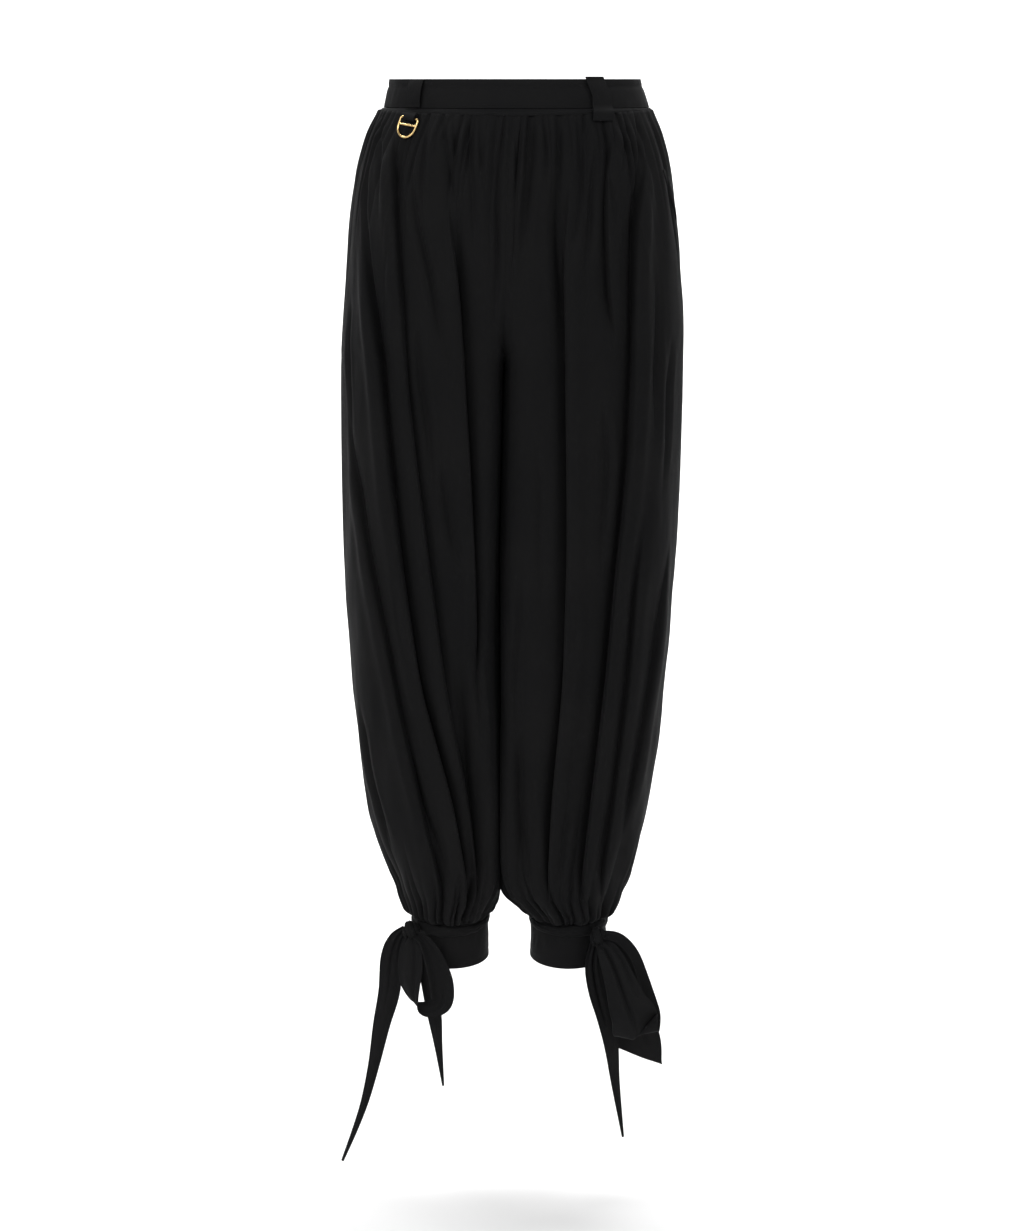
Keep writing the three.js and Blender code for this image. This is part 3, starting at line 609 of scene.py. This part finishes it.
def gathers(rng, share, distance, count, levels):
    """Gathers that start at a seam and merge two by two: cusped valleys, round ridges."""
    height = np.zeros_like(share)
    starts = (np.arange(-1, count + 2) + rng.uniform(-0.28, 0.28, count + 3)) / count
    drift = rng.normal(0, 0.012, count + 3)
    for number, (tall, begin, reach) in enumerate(levels):
        keep = np.arange(0, count + 3, 2 ** number)
        if number:
            keep = np.unique(np.clip(keep + rng.integers(-1, 2, len(keep)), 0, count + 2))
        reaches = reach * rng.uniform(0.4, 1.7, len(keep))
        sizes = tall * rng.uniform(0.4, 1.25, len(keep))
        wobble = rng.uniform(0, 6, len(keep))
        for r in range(share.shape[0]):
            away = distance[r].mean()
            t = away / reach
            lines = starts[keep] + drift[keep] * t + 0.003 * np.sin(away / 21 + wobble)
            lines = np.maximum.accumulate(lines)
            phase = np.interp(share[r], lines, np.arange(len(keep)))
            fade = smooth(1 - away / reaches) * smooth((away + begin) / (begin + 1e-6))
            here = np.interp(share[r], lines, sizes * fade)
            height[r] += here * (np.abs(np.sin(np.pi * phase)) ** 0.7 - 0.55)
    return height


def billows(panel, seed):
    """Low uneven waves between the folds, long in the drop of the cloth."""
    s, z = panel.place, panel.z
    waves = 1.9 * noise(s / 31 + 0.0035 * z + 9, z / 210 + 9, seed)
    waves += 0.8 * noise(s / 15 + 9, z / 110 + 9, seed + 1)
    crumple = 0.16 * noise(s / 7 + 9, z / 19 + 30, seed + 2)
    return waves * smooth((-45 - z) / 70) * smooth((z - ANKLE) / 50) + crumple


def lowest_near(height, columns, rows):
    """The lowest height within a few columns and rows."""
    low = height.copy()
    for shift in range(1, columns + 1):
        low[:, shift:] = np.minimum(low[:, shift:], height[:, :-shift])
        low[:, :-shift] = np.minimum(low[:, :-shift], height[:, shift:])
    wide = low.copy()
    for shift in range(1, rows + 1):
        low[shift:] = np.minimum(low[shift:], wide[:-shift])
        low[:-shift] = np.minimum(low[:-shift], wide[shift:])
    return low


def welt_height(x):
    """The welt is tallest at the middle and narrows to the sides."""
    return WELT_SIDE + WELT_EXTRA * np.clip(1 - (x / BAND_BOTTOM["left"]) ** 2, 0, 1)


def panel_heights(side, face, rows, columns):
    """The heights of the grid: its top edge follows the welt, and lower rows level out."""
    z = mix(PANEL_TOP, float(ANKLE), rows)[:, None] + 0 * columns
    top = Panel(side, face, z[:1], columns)
    x = top.points(0 * top.z, 0 * top.z)[0, :, 0]
    edge = -BAND_HEIGHT - welt_height(x) + 0.9
    return z + (edge - PANEL_TOP)[None, :] * (1 - smooth((PANEL_TOP - z) / 50))


# How many gathers leave a seam, and for each level of merging their height, where they
# begin and how far they reach.
WAIST_GATHERS = 22, ((3.4, 0, 80), (3.9, 10, 150), (4.0, 45, 260))
ANKLE_GATHERS = 20, ((6.0, 0, 75), (7.8, 8, 150), (6.2, 30, 260))


def build_panel(side, face):
    drop = np.linspace(0, 1, PANEL_ROWS + 1)
    rows = drop - 0.04 * np.sin(2 * np.pi * drop)
    columns = np.linspace(0, 1, PANEL_COLUMNS + 1)
    z = panel_heights(side, face, rows, columns)
    panel = Panel(side, face, z, columns)
    seed = PANEL_SEEDS[panel.name]
    rng = np.random.default_rng(seed)
    from_waist, from_ankle = PANEL_TOP - z, z - ANKLE
    height, slide = long_folds(panel)
    front_share = panel.place / panel.face_length
    height += gathers(rng, front_share, np.maximum(from_waist, 0), *WAIST_GATHERS)
    height += gathers(rng, panel.share, np.maximum(from_ankle, 0), *ANKLE_GATHERS)
    height += soft_creases(panel) + billows(panel, seed)
    on_front = smooth((panel.deep / panel.deep.max(axis=1, keepdims=True) - 0.35) / 0.4)
    on_front = np.where(panel.place > 60, 1, np.maximum(on_front, smooth(1 - from_ankle / 120)))
    to_seam = np.minimum(panel.share, 1 - panel.share) * panel.length
    free = smooth(to_seam / 9) * on_front
    tuck = 2.2 * smooth(1 - from_ankle / 7)
    held = 0.35 + 0.65 * smooth(from_waist / 26)
    height, slide = 0.4 + (height * held - tuck) * free, slide * free
    height -= 1.3 * smooth(1 - (panel.z[:1] + 1.6 - panel.z) / 1.2)
    low = lowest_near(height, 6, 2)
    outer = panel.points(height, slide)
    inner = panel.points(low - CLOTH, 0 * slide)
    inner[..., 0] += panel.sign * np.maximum(0, CLOTH - np.abs(inner[..., 0] - outer[..., 0])) * (
        panel.away < panel.gap + 2)
    uvs = np.stack((panel.place, panel.z), axis=-1)
    obj = panel_object(f"cloth_leg_{side}_{face}", outer, inner[::2, ::2], uvs)
    dress(obj, f"leg_{side}_{face}")
    return panel, outer


PANELS = {(side, face): build_panel(side, face)
          for side in ("right", "left") for face in ("front", "back")}

# ---- waistband, welt and belt loops ----


def waist_point(z, angle, out):
    """Points on the waist's rounded section; angle runs from the left side forwards."""
    z, angle, out = np.broadcast_arrays(np.asarray(z, float), angle, out)
    t = np.clip(-z / BAND_HEIGHT, 0, 1)
    sizes = {}
    for name in ("right", "left", "depth"):
        on_band = mix(BAND_TOP[name], BAND_BOTTOM[name], t)
        sizes[name] = np.where(z >= -BAND_HEIGHT, on_band, read_outline(name, z))
    middle = (sizes["left"] + sizes["right"]) / 2
    wide = (sizes["left"] - sizes["right"]) / 2
    c, s = np.cos(angle), np.sin(angle)
    normal = np.stack((c / wide, -s / sizes["depth"], 0 * c), axis=-1)
    point = np.stack((middle + wide * c, -sizes["depth"] * s, z), axis=-1)
    return point + unit(normal) * out[..., None]


FACE_START = dict(front=0, back=math.pi)


def build_band(face):
    columns = np.linspace(END_TURN, math.pi - END_TURN, 181) + FACE_START[face]
    z = np.linspace(BAND_PROUD, -BAND_HEIGHT, 30)[:, None]
    wave = (0.35 * noise(columns * 7, columns * 0, 5)
            + 0.3 * noise(columns * 19 + z * 0.03, z * 0.08, 6))
    press = 0.9 * crease(z + 6.5, 2.4) + 0.35 * crease(z + BAND_HEIGHT - 1.6, 0.5)
    outer = waist_point(z, columns[None, :], wave * 0.7 - press + 0.1)
    inner = waist_point(z, columns[None, :], -BAND_CLOTH + wave * 0.4)
    sew(f"waistband_{face}", outer, inner, BAND_CLOTH_LOOK, soft=0.6)


def build_welt(face):
    columns = np.linspace(END_TURN, math.pi - END_TURN, 241) + FACE_START[face]
    x = BAND_BOTTOM["left"] * np.cos(columns)
    t = steps(9)
    z = -BAND_HEIGHT - SEAM_GAP - t * (welt_height(x) - SEAM_GAP)
    belly = 0.7 * np.sin(math.pi * t) + 0.3 * noise(columns * 17 + t, t * 2, 9)
    outer = waist_point(z, columns[None, :], 0.5 + belly)
    inner = waist_point(z, columns[None, :], -BAND_CLOTH + 0.8)
    sew(f"welt_{face}", outer, inner, BAND_CLOTH_LOOK, soft=0.5, cuts=2)


# Each loop's name, the angle of its centre, how far it leans towards the left side at its
# top, a little below and its end, the heights of its top and bottom, and its width.
BELT_LOOPS = (
    ("front_right", 139, (0, 0, 0), 0.6, -26.5, 21),
    ("front_left", 51.5, (-2.5, 1, -4), 3.5, -39, 23),
    ("back_right", 230, (0, 0, 0), 0.6, -26.5, 20),
    ("back_left", 310, (0, 0, 0), 0.6, -26.5, 20),
)


def build_belt_loop(name, centre, drift, top, bottom, width):
    t = steps(41)
    w = breadth(25)
    z = mix(top, bottom, t) + 0 * w
    lean = np.interp(t, (0, 0.45, 1), drift)
    angle = math.radians(centre) - (lean + w * width) / BAND_TOP["left"]
    below = 2.1 * smooth((-BAND_HEIGHT + 4 - z) / 7)
    stand = 0.6 + 2.6 * np.sin(math.pi * t) ** 0.7 + below
    crown = (0.3 * (1 - (2 * w) ** 4) + 0.3 * noise(t * 4 + 3, w * 3 + 5, 31)
             - 0.3 * crease((np.abs(w) - 0.42) * width, 0.5))

    def side(layer):
        point = waist_point(np.minimum(z, 0), angle, stand + layer)
        point[..., 2] = z
        return point

    sew("belt_loop_" + name, side(STRIP_CLOTH + crown), side(0 * t + 0.1),
        BAND_CLOTH_LOOK, soft=0.5)


for face in ("front", "back"):
    build_band(face)
    build_welt(face)
for row in BELT_LOOPS:
    build_belt_loop(*row)

# ---- D-ring and tab ----

RING_WIRE = 1.1  # the wire's radius
RING_HALF = 11.2  # half the ring's width
RING_CORNER = 2.2
RING_ARM = 8.6  # from the hinge down to where the curve begins
RING_BAR_DROP = 7.2  # from the hinge down to the crossbar
RING_HEIGHT = -38
RING_X = -101
RING_OUT = 4.75  # from the form under the cloth out to the hinge
WAIST_WIDE = 141  # half the waist's width at the ring
WAIST_ROUND = 0.72  # its depth over its width
TAB_WIDTH = 14
TAB_DROP = 6.6


def ring_frame():
    """The ring's own directions, which lie on the slope of the cloth."""
    angle = math.acos(RING_X / WAIST_WIDE)
    surface = waist_point(RING_HEIGHT, angle, 0)
    down = unit(waist_point(RING_HEIGHT - 12, angle, 0) - surface)
    side = unit(np.array((-math.sin(angle), -WAIST_ROUND * math.cos(angle), 0)))
    out = unit(np.cross(down, side))
    out = -out if out[1] > 0 else out
    side = unit(np.cross(out, down))
    return surface, side, out, down


def ring_points(across, out, down):
    surface, side, outward, downward = ring_frame()
    across, out, down = np.broadcast_arrays(across, out, down)
    return (surface + across[..., None] * side + out[..., None] * outward
            + down[..., None] * downward)


def wire(points, ring, radius, normal, sides=20):
    """A round wire along points that lie in the plane across normal."""
    n = len(points)
    if ring:
        along = np.roll(points, -1, axis=0) - np.roll(points, 1, axis=0)
    else:
        along = np.gradient(points, axis=0)
    across = np.cross(unit(along), normal)
    turn = turns(sides)[..., None]
    rim = (points[:, None, :] + radius * np.cos(turn) * across[:, None, :]
           + radius * np.sin(turn) * normal)
    faces = grid_quads(n, sides, 0, ring=True).tolist()
    if ring:
        last = (n - 1) * sides
        for k in range(sides):
            m = (k + 1) % sides
            faces.append((last + k, k, m, last + m))
    else:
        faces.append(tuple(range(sides)))
        faces.append(tuple(range(n * sides - 1, (n - 1) * sides - 1, -1)))
    return rim.reshape(-1, 3), faces


def build_ring():
    corner = RING_CORNER
    bar = [(x, 0.0) for x in np.linspace(RING_HALF - corner, -RING_HALF + corner, 12)]
    left_corner = [(-RING_HALF + corner - corner * math.sin(a), corner - corner * math.cos(a))
                   for a in np.linspace(0.15, math.pi / 2, 8)]
    arc = [(-RING_HALF * math.cos(a), RING_ARM + RING_HALF * math.sin(a))
           for a in np.linspace(0, math.pi, 48)]
    right_corner = [(-x, y) for x, y in reversed(left_corner)]
    outline = np.array(bar + left_corner + arc + right_corner)
    normal = ring_frame()[2]
    loop = ring_points(outline[:, 0], RING_OUT, outline[:, 1])
    points, faces = wire(loop, True, RING_WIRE, normal)
    ends = np.linspace(-1, 1, 14) * (RING_HALF - 0.2)
    cross = ring_points(ends, RING_OUT, RING_BAR_DROP - 0.4 * ends / RING_HALF)
    bar_points, bar_faces = wire(cross, False, RING_WIRE * 0.96, normal)
    offset = len(points)
    faces += [tuple(i + offset for i in f) for f in bar_faces]
    obj = new_object("gold_d_ring", np.vstack((points, bar_points)), faces)
    obj.data.materials.append(GOLD)
    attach(obj, "ring")
    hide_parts("d_ring")


def build_tab():
    """The tab's path in steps out from and down the form: up its back, round and down."""
    bend = RING_WIRE + SEAM_GAP + STRIP_CLOTH / 2 + 0.1
    rows = [(RING_OUT - bend, d) for d in np.linspace(-TAB_DROP, 0, 14)]
    rows += [(RING_OUT - bend * math.cos(a), bend * math.sin(a))
             for a in np.linspace(0, math.pi, 16)[1:]]
    front = np.array(((RING_OUT + bend, 0), (RING_OUT + bend - 0.4, -0.35 * TAB_DROP),
                      (RING_OUT + bend - 1.6, -0.7 * TAB_DROP),
                      (RING_OUT - bend + 2.2, -TAB_DROP)))
    for t in np.linspace(0, 3, 16)[1:]:
        i = min(2, int(t))
        rows.append(tuple(mix(front[i], front[i + 1], t - i)))
    path = np.array(rows)
    path[1:-1, 0] = rounded(path[:, 0], 1)[1:-1]
    along = unit(np.gradient(path, axis=0))
    w = breadth(15)
    crown = (0.15 * noise(np.arange(len(path))[:, None] / 4, w * 3, 77)
             - 0.22 * crease((np.abs(w) - 0.4) * TAB_WIDTH, 0.5))

    def side(layer):
        out = path[:, :1] + along[:, 1:] * layer
        down = path[:, 1:] - along[:, :1] * layer
        return ring_points(w * TAB_WIDTH + 0 * out, out, down)

    half = STRIP_CLOTH / 2
    sew("ring_tab", side(half + crown), side(-half + 0 * crown),
        BAND_CLOTH_LOOK, soft=0.4)


build_ring()
build_tab()

# ---- pocket ----

POCKET_TOP, POCKET_BOTTOM = -88.0, -205.0


def build_pocket():
    """The pocket's mouth: a narrow strip that lies on the left front panel."""
    panel, outer = PANELS["left", "front"]
    t = steps(70)
    w = breadth(13)
    z = mix(POCKET_TOP, POCKET_BOTTOM, t) + 0 * w
    share = mix(0.79, 0.955, t) + 0.02 * np.sin(math.pi * t) + 0.05 * mix(1, 0.7, t) * w
    row = np.interp(z, panel.levels[::-1], np.arange(len(panel.levels))[::-1])
    column = np.empty_like(z)
    for i in range(len(t)):
        near = panel.share[int(round(row[i, 0]))]
        column[i] = np.interp(share[i], near, np.arange(len(near)))
    r = np.minimum(row.astype(int), outer.shape[0] - 2)
    c = np.minimum(column.astype(int), outer.shape[1] - 2)
    fr, fc = (row - r)[..., None], (column - c)[..., None]
    corner, beside, under = outer[r, c], outer[r, c + 1], outer[r + 1, c]
    points = mix(mix(corner, beside, fc), mix(under, outer[r + 1, c + 1], fc), fr)
    outward = unit(np.cross(beside - corner, under - corner))
    outward *= np.sign(-outward[..., 1:2])
    rise = 0.8 + 0.9 * (1 - (2 * w) ** 4) * np.sin(math.pi * np.clip(t, 0.03, 0.97)) ** 0.4
    top = points + outward * rise[..., None]
    sew("pocket_left", top, points + outward * 0.15, soft=0.4, cuts=2)


build_pocket()

# ---- cuffs ----


def cuff_point(cuff, angle, z, out):
    radius = cuff["radius"] + CUFF_FLARE * (ANKLE - z) / (ANKLE - HEM) + out
    x = cuff["x"] + radius * np.cos(angle)
    y = -(radius + cuff["radius"] * (CUFF_DEPTH - 1)) * np.sin(angle)
    return np.stack((x, y, z + 0 * x), axis=-1)


def build_cuff(side):
    cuff = CUFFS[side]
    angle = turns(144)
    z = np.linspace(ANKLE - SEAM_GAP, HEM, 32)[:, None]
    seed = cuff["seed"]
    wave = 0.7 * noise(angle * 3 / math.pi * 4 % 64, z / 30, seed) * smooth((z - HEM) / 18)
    drag = 0.5 * noise(angle * 10 + z / 14, z / 16, seed + 1) * smooth((z - HEM) / 30)
    hem = 0.45 * crease(z - HEM - 7, 0.7)
    outer = cuff_point(cuff, angle, z, wave + drag - hem)
    inner = cuff_point(cuff, angle, z, -2.2 + wave * 0.5)
    sew(f"cuff_{side}", outer, inner, soft=0.8, ring=True)


# ---- ties ----

# The middle of each tie in rows, with its width there, and the turn and tilt of its
# breadth in degrees.
TIE_COLUMNS = ("x", "y", "z", "width", "turn", "tilt")
TIES = dict(
    bow_loop_right=(
        (-113, -40, -914, 10, -20, 0), (-114, -48, -923, 24, -20, 0), (-115, -54, -944, 30, -24, 0),
        (-115, -57, -966, 25, -30, -8), (-109, -58, -986, 15, -42, -30),
        (-95, -59, -993, 18, -30, -45), (-82, -58, -984, 28, -20, -20),
        (-82, -57, -963, 31, -12, 0), (-88, -54, -941, 26, -10, 0), (-97, -47, -922, 17, -10, 0),
        (-108, -40, -914, 10, -15, 0),
    ),
    tail_right_long=(
        (-120, -28, -911, 10, -10, 0), (-131, -30, -924, 19, -12, 0),
        (-137, -31, -946, 25, -15, 0), (-140, -31, -984, 25, -15, 0),
        (-149, -30, -1024, 20, -20, 0), (-158, -28, -1071, 14, -25, 0),
        (-169, -26, -1118, 9.5, -25, 0), (-181, -24, -1155, 6.5, -25, 0),
        (-196, -22, -1195, 2.8, -25, 0),
    ),
    tail_right_short=(
        (-106, -38, -918, 10, -20, 0), (-98, -42, -950, 18, -15, 0), (-90, -43, -1000, 17, -10, 0),
        (-85, -42, -1045, 9, -10, 0), (-80, -41, -1093, 2.2, -10, 0),
    ),
    bow_loop_left=(
        (93, -55, -916, 11, 10, 0), (100, -61, -921, 22, 10, 0), (108, -67, -936, 29, 10, 0),
        (116, -70, -958, 35, 12, 0), (124, -70, -984, 43, 14, 4), (131, -67, -1006, 50, 14, 9),
        (134, -60, -1026, 52, 14, 12), (137, -54, -1012, 48, 14, 8), (136, -53, -986, 38, 14, 0),
        (132, -53, -960, 30, 14, 0), (124, -53, -935, 27, 14, 15), (113, -52, -920, 25, 12, 45),
        (102, -51, -914, 20, 10, 62), (93, -50, -914, 13, 10, 65),
    ),
    tail_left_long=(
        (89, -46, -917, 10, 5, 0), (87, -46, -946, 19, 8, 0), (92, -46, -975, 22, 12, 0),
        (101, -45, -1008, 21, 16, 0), (108, -44, -1044, 17, 20, 0), (113, -43, -1090, 10, 25, 0),
        (122, -40, -1156, 2.2, 30, 0),
    ),
    tail_left_short=(
        (97, -43, -920, 10, 10, 0), (120, -32, -962, 32, 12, 0), (131, -30, -1006, 40, 12, 0),
        (139, -28, -1042, 49, 12, 0), (141, -28, -1064, 50, 12, 0),
    ),
)
# The point in which a loop's lower end hangs: where it is along and across the tie, and
# how far the tie's edges stand above it.
LOOP_POINTS = dict(bow_loop_left=(0.47, -0.08, 26))
# How much further down one side of a cut end reaches than the other.
END_SLANTS = dict(tail_left_short=30)
# Creases along a tie: where each begins and ends in its length, its place across at both
# ends from -0.5 to 0.5, and its depth.
TIE_CREASES = dict(
    bow_loop_left=((-0.2, 0.46, -0.12, 0.02, 6), (0.02, 0.3, 0.28, 0.34, 3.2),
                   (0.6, 1.1, 0.1, 0, 3.4)),
    bow_loop_right=((-0.1, 0.4, 0.1, 0.2, 3), (0.5, 1.2, -0.3, -0.22, 8),
                    (0.45, 0.7, 0.3, 0.1, 2.4)),
    tail_left_long=((-0.2, 0.55, 0.1, -0.1, 4),),
    tail_left_short=((-0.2, 0.8, -0.1, 0.15, 4),),
    tail_right_long=((-0.2, 0.5, 0.15, -0.05, 2.6),),
    tail_right_short=((-0.2, 0.7, 0, 0.1, 3),),
)
# turn is where round the cuff a knot sits, in degrees from the left forwards.
KNOTS = dict(
    right=dict(x=-114, y=-34.5, z=-911, wide=9.5, deep=7.5, high=9.5, turn=140, seed=701),
    left=dict(x=91.5, y=-47.5, z=-913, wide=8.5, deep=7.5, high=10, turn=50, seed=801),
)
WRAP_HEIGHT = 7.5
WRAP_SEED = 200  # added to the cuff's
STRIP_STEPS = 16  # between two rows of a tie's table
STRIP_COLUMNS = 33
WELD_REACH = 1e-6  # metres, for the points that meet at a knot's poles


def build_wrap(side):
    cuff = CUFFS[side]
    seed = cuff["seed"] + WRAP_SEED
    knot_angle = math.radians(KNOTS[side]["turn"])
    angle = turns(180)
    t = steps(17)
    near = 0.5 + 0.5 * np.cos(angle - knot_angle)
    sag = 3.2 * np.sin(angle - knot_angle) ** 2 + 0.9 * noise(angle * 6 % 64, 0 * angle, seed + 2)
    z = ANKLE - 0.6 - (WRAP_HEIGHT + 7 * near ** 3) * t - sag
    twist = t * 2.6 + (angle - knot_angle) * 0.9
    folds = 0.8 * np.abs(np.sin(math.pi * twist)) ** 0.6 + 0.6 * noise(angle * 9 % 64, t * 4, seed)
    roll = 0.7 + (0.5 + 1.5 * near ** 2) * np.sin(math.pi * t) ** 0.7
    outer = cuff_point(cuff, angle, z, SEAM_GAP + 0.1 + roll + folds * np.sin(math.pi * t) ** 0.5)
    inner = cuff_point(cuff, angle, z, SEAM_GAP + 0.2 + 0 * roll)
    sew(f"tie_wrap_{side}", outer, inner, ring=True)


def build_knot(side):
    """A pulled knot: a band over the middle and a bulge of gathered cloth either side."""
    knot = KNOTS[side]
    seed = knot["seed"]
    across = np.linspace(0, math.pi, 65)[:, None]
    turn = turns(96)
    x = -np.cos(across) + 0 * turn
    y = -np.sin(across) * np.sin(turn)
    z = np.sin(across) * np.cos(turn)
    lean = x * 0.9 + z * 0.35
    band = np.exp(-((lean / 0.42) ** 4))
    groove = np.exp(-(((np.abs(lean) - 0.5) / 0.09) ** 2))
    along_band = 0.07 * np.abs(np.sin(lean * 11 + 0.6 * noise(turn * 2 % 64, lean * 2 + 9, seed)))
    bulge = 0.13 * np.abs(np.sin(turn * 3.5 + 3 * lean + noise(lean * 3 + 9, turn * 1.3, seed + 1)))
    bulge *= np.sqrt(np.abs(np.sin(across)))
    swell = 1 + 0.16 * band - 0.2 * groove + band * along_band + (1 - band) * bulge - 0.06
    points = np.stack((knot["x"] + knot["wide"] * 1.05 * x * swell,
                       knot["y"] + knot["deep"] * 1.1 * y * swell,
                       knot["z"] + knot["high"] * 1.1 * z * swell), axis=-1)
    rows, columns = points.shape[:2]
    faces = grid_quads(rows, columns, 0, ring=True).tolist()
    obj = new_object(f"cloth_knot_{side}", points.reshape(-1, 3), faces, surface_uvs(points))
    weld = obj.modifiers.new("weld", "WELD")
    weld.merge_threshold = WELD_REACH
    dress(obj, f"knot_{side}", TIE_CLOTH)


def curve_points(rows, t):
    """A smooth curve through the rows, and their other columns at the same places."""
    data = np.array(rows, float)
    padded = np.vstack((2 * data[0] - data[1], data, 2 * data[-1] - data[-2]))
    place = t * (len(rows) - 1)
    i = np.minimum(place.astype(int), len(rows) - 2)
    f = (place - i)[:, None]
    a, b, c, d = (padded[i + k] for k in range(4))
    point = 0.5 * (2 * b + (c - a) * f + (2 * a - 5 * b + 4 * c - d) * f ** 2
                   + (3 * b - a - 3 * c + d) * f ** 3)
    return {name: point[:, k] for k, name in enumerate(TIE_COLUMNS)}


def build_strip(name, rows):
    """A flat tie along its curve, with waves, pinched pleats at the knot and creases."""
    t = np.linspace(0, 1, STRIP_STEPS * (len(rows) - 1) + 1)
    c = curve_points(rows, t)
    middle = np.stack((c["x"], c["y"], c["z"]), axis=-1)
    along = unit(np.gradient(middle, axis=0))
    turn, tilt = np.radians(c["turn"]), np.radians(c["tilt"])
    across = np.stack((np.cos(turn), np.sin(turn), np.tan(tilt)), axis=-1)
    across = unit(across - along * np.sum(across * along, axis=1, keepdims=True))
    out = np.cross(along, across)
    t = t[:, None]
    w = breadth(STRIP_COLUMNS)
    width = np.maximum(c["width"], 1.0)[:, None]
    seed = sum(map(ord, name))
    pinch = np.exp(-t * len(rows) * 0.9)
    if "loop" in name:
        pinch = pinch + np.exp(-(1 - t) * len(rows) * 0.9)
    lengthwise = np.minimum(1.5, width / 20) * np.cos(2 * math.pi * w)
    soft = 0.8 * noise(w * 2.2 + 7, t * len(rows) * 0.8, seed)
    wander = 0.3 * noise(t * 3, w * 0, seed)
    pleats = pinch * 2.2 * (np.abs(np.sin(math.pi * (w * 3.2 + wander))) - 0.6)
    edge = 0.25 * np.exp(-(((0.5 - np.abs(w)) * width / 1.4) ** 2))
    lift = lengthwise + soft * np.minimum(1, width / 18) + pleats * np.minimum(1, width / 14)
    for begin, end, first, last, depth in TIE_CREASES[name]:
        run = np.clip((t - begin) / (end - begin), 0, 1)
        line = w - mix(first, last, run)
        trough = depth * (4 * run * (1 - run)) ** 0.6 * crease(line * width, 2.2)
        lift = lift - trough * np.minimum(1, width / 20)
    cut = END_SLANTS.get(name, 0) * w * smooth((t - 0.55) / 0.45)
    place, aside, stand = LOOP_POINTS.get(name, (0, 0, 0))
    rise = stand * np.abs(w - aside) * np.exp(-(((t - place) / 0.13) ** 2))

    def side(layer):
        points = (middle[:, None, :] + across[:, None, :] * (w * width)[..., None]
                  + along[:, None, :] * cut[..., None]
                  + out[:, None, :] * (lift + layer)[..., None])
        points[..., 2] += rise
        return points

    half = STRIP_CLOTH / 2 * 0.8
    sew(name, side(half + edge), side(-half - edge), TIE_CLOTH)


for side in ("right", "left"):
    build_cuff(side)
    build_wrap(side)
    build_knot(side)
for name, rows in TIES.items():
    build_strip(name, rows)

# ---- floor, light and camera ----

FLOOR = dict(z=-1215, front=-3500, back=2200, half=5000, bend=1200, top=3500)
# Each light's place, what it faces and its size, in metres, and its power in watts.
LIGHTS = dict(
    left_box=((-2.2, -1.6, 0.9), (0, 0, -0.4), (1.3, 2.2), 26),
    right_box=((2.2, -1.6, 0.9), (0, 0, -0.4), (1.3, 2.2), 21),
    front_box=((-0.5, -2.6, 1.8), (0, 0, -0.3), (1.6, 1.2), 31),
    backdrop=((0, 0.9, 1.9), (0, 3.0, -0.4), (3.2, 1.0), 200),
)
WORLD_STRENGTH = 0.38
CAMERA_PLACE = (-0.003, -2.3, 0)
CAMERA_DOWN = 13.72  # degrees
FOCAL_SHARE = 2193 / 1231  # the focal length over the picture's height
SENSOR = 36


def build_floor():
    """A pale floor that curves up into the backdrop."""
    z, back, bend = FLOOR["z"], FLOOR["back"], FLOOR["bend"]
    curve = [(y, z) for y in np.linspace(FLOOR["front"], back, 40)]
    curve += [(back + bend * math.sin(a), z + bend - bend * math.cos(a))
              for a in np.linspace(0, math.pi / 2, 24)[1:]]
    curve.append((back + bend, FLOOR["top"]))
    points = [(x, y, z) for y, z in curve for x in (-FLOOR["half"], FLOOR["half"])]
    faces = [(2 * i, 2 * i + 1, 2 * i + 3, 2 * i + 2) for i in range(len(curve) - 1)]
    floor = new_object("floor", points, faces)
    material, _, shader = new_material("pale_floor")
    set_inputs(shader, Base_Color=(0.8, 0.8, 0.8, 1), Roughness=0.9)
    floor.data.materials.append(material)


def add_light(name, place, target, size, power):
    light = bpy.data.lights.new(name, "AREA")
    light.shape = "RECTANGLE"
    light.size, light.size_y = size
    light.energy = power
    obj = link_object(name, light)
    obj.location = place
    obj.rotation_euler = (Vector(target) - Vector(place)).to_track_quat("-Z", "Y").to_euler()


def add_camera():
    """The view from waist height, looking down at the middle of the trousers."""
    camera = bpy.data.cameras.new("camera")
    camera.sensor_width = SENSOR
    camera.lens = SENSOR * FOCAL_SHARE
    camera.clip_end = 50
    obj = link_object("camera", camera)
    obj.location = CAMERA_PLACE
    obj.rotation_euler = (math.radians(90 - CAMERA_DOWN), 0, 0)
    bpy.context.scene.camera = obj


def add_world():
    world = bpy.data.worlds.new("studio")
    world.use_nodes = True
    set_inputs(world.node_tree.nodes["Background"], Color=(1, 1, 1, 1), Strength=WORLD_STRENGTH)
    bpy.context.scene.world = world


build_floor()
for name, settings in LIGHTS.items():
    add_light(name, *settings)
add_world()
add_camera()
bpy.context.scene.view_settings.view_transform = "Standard"
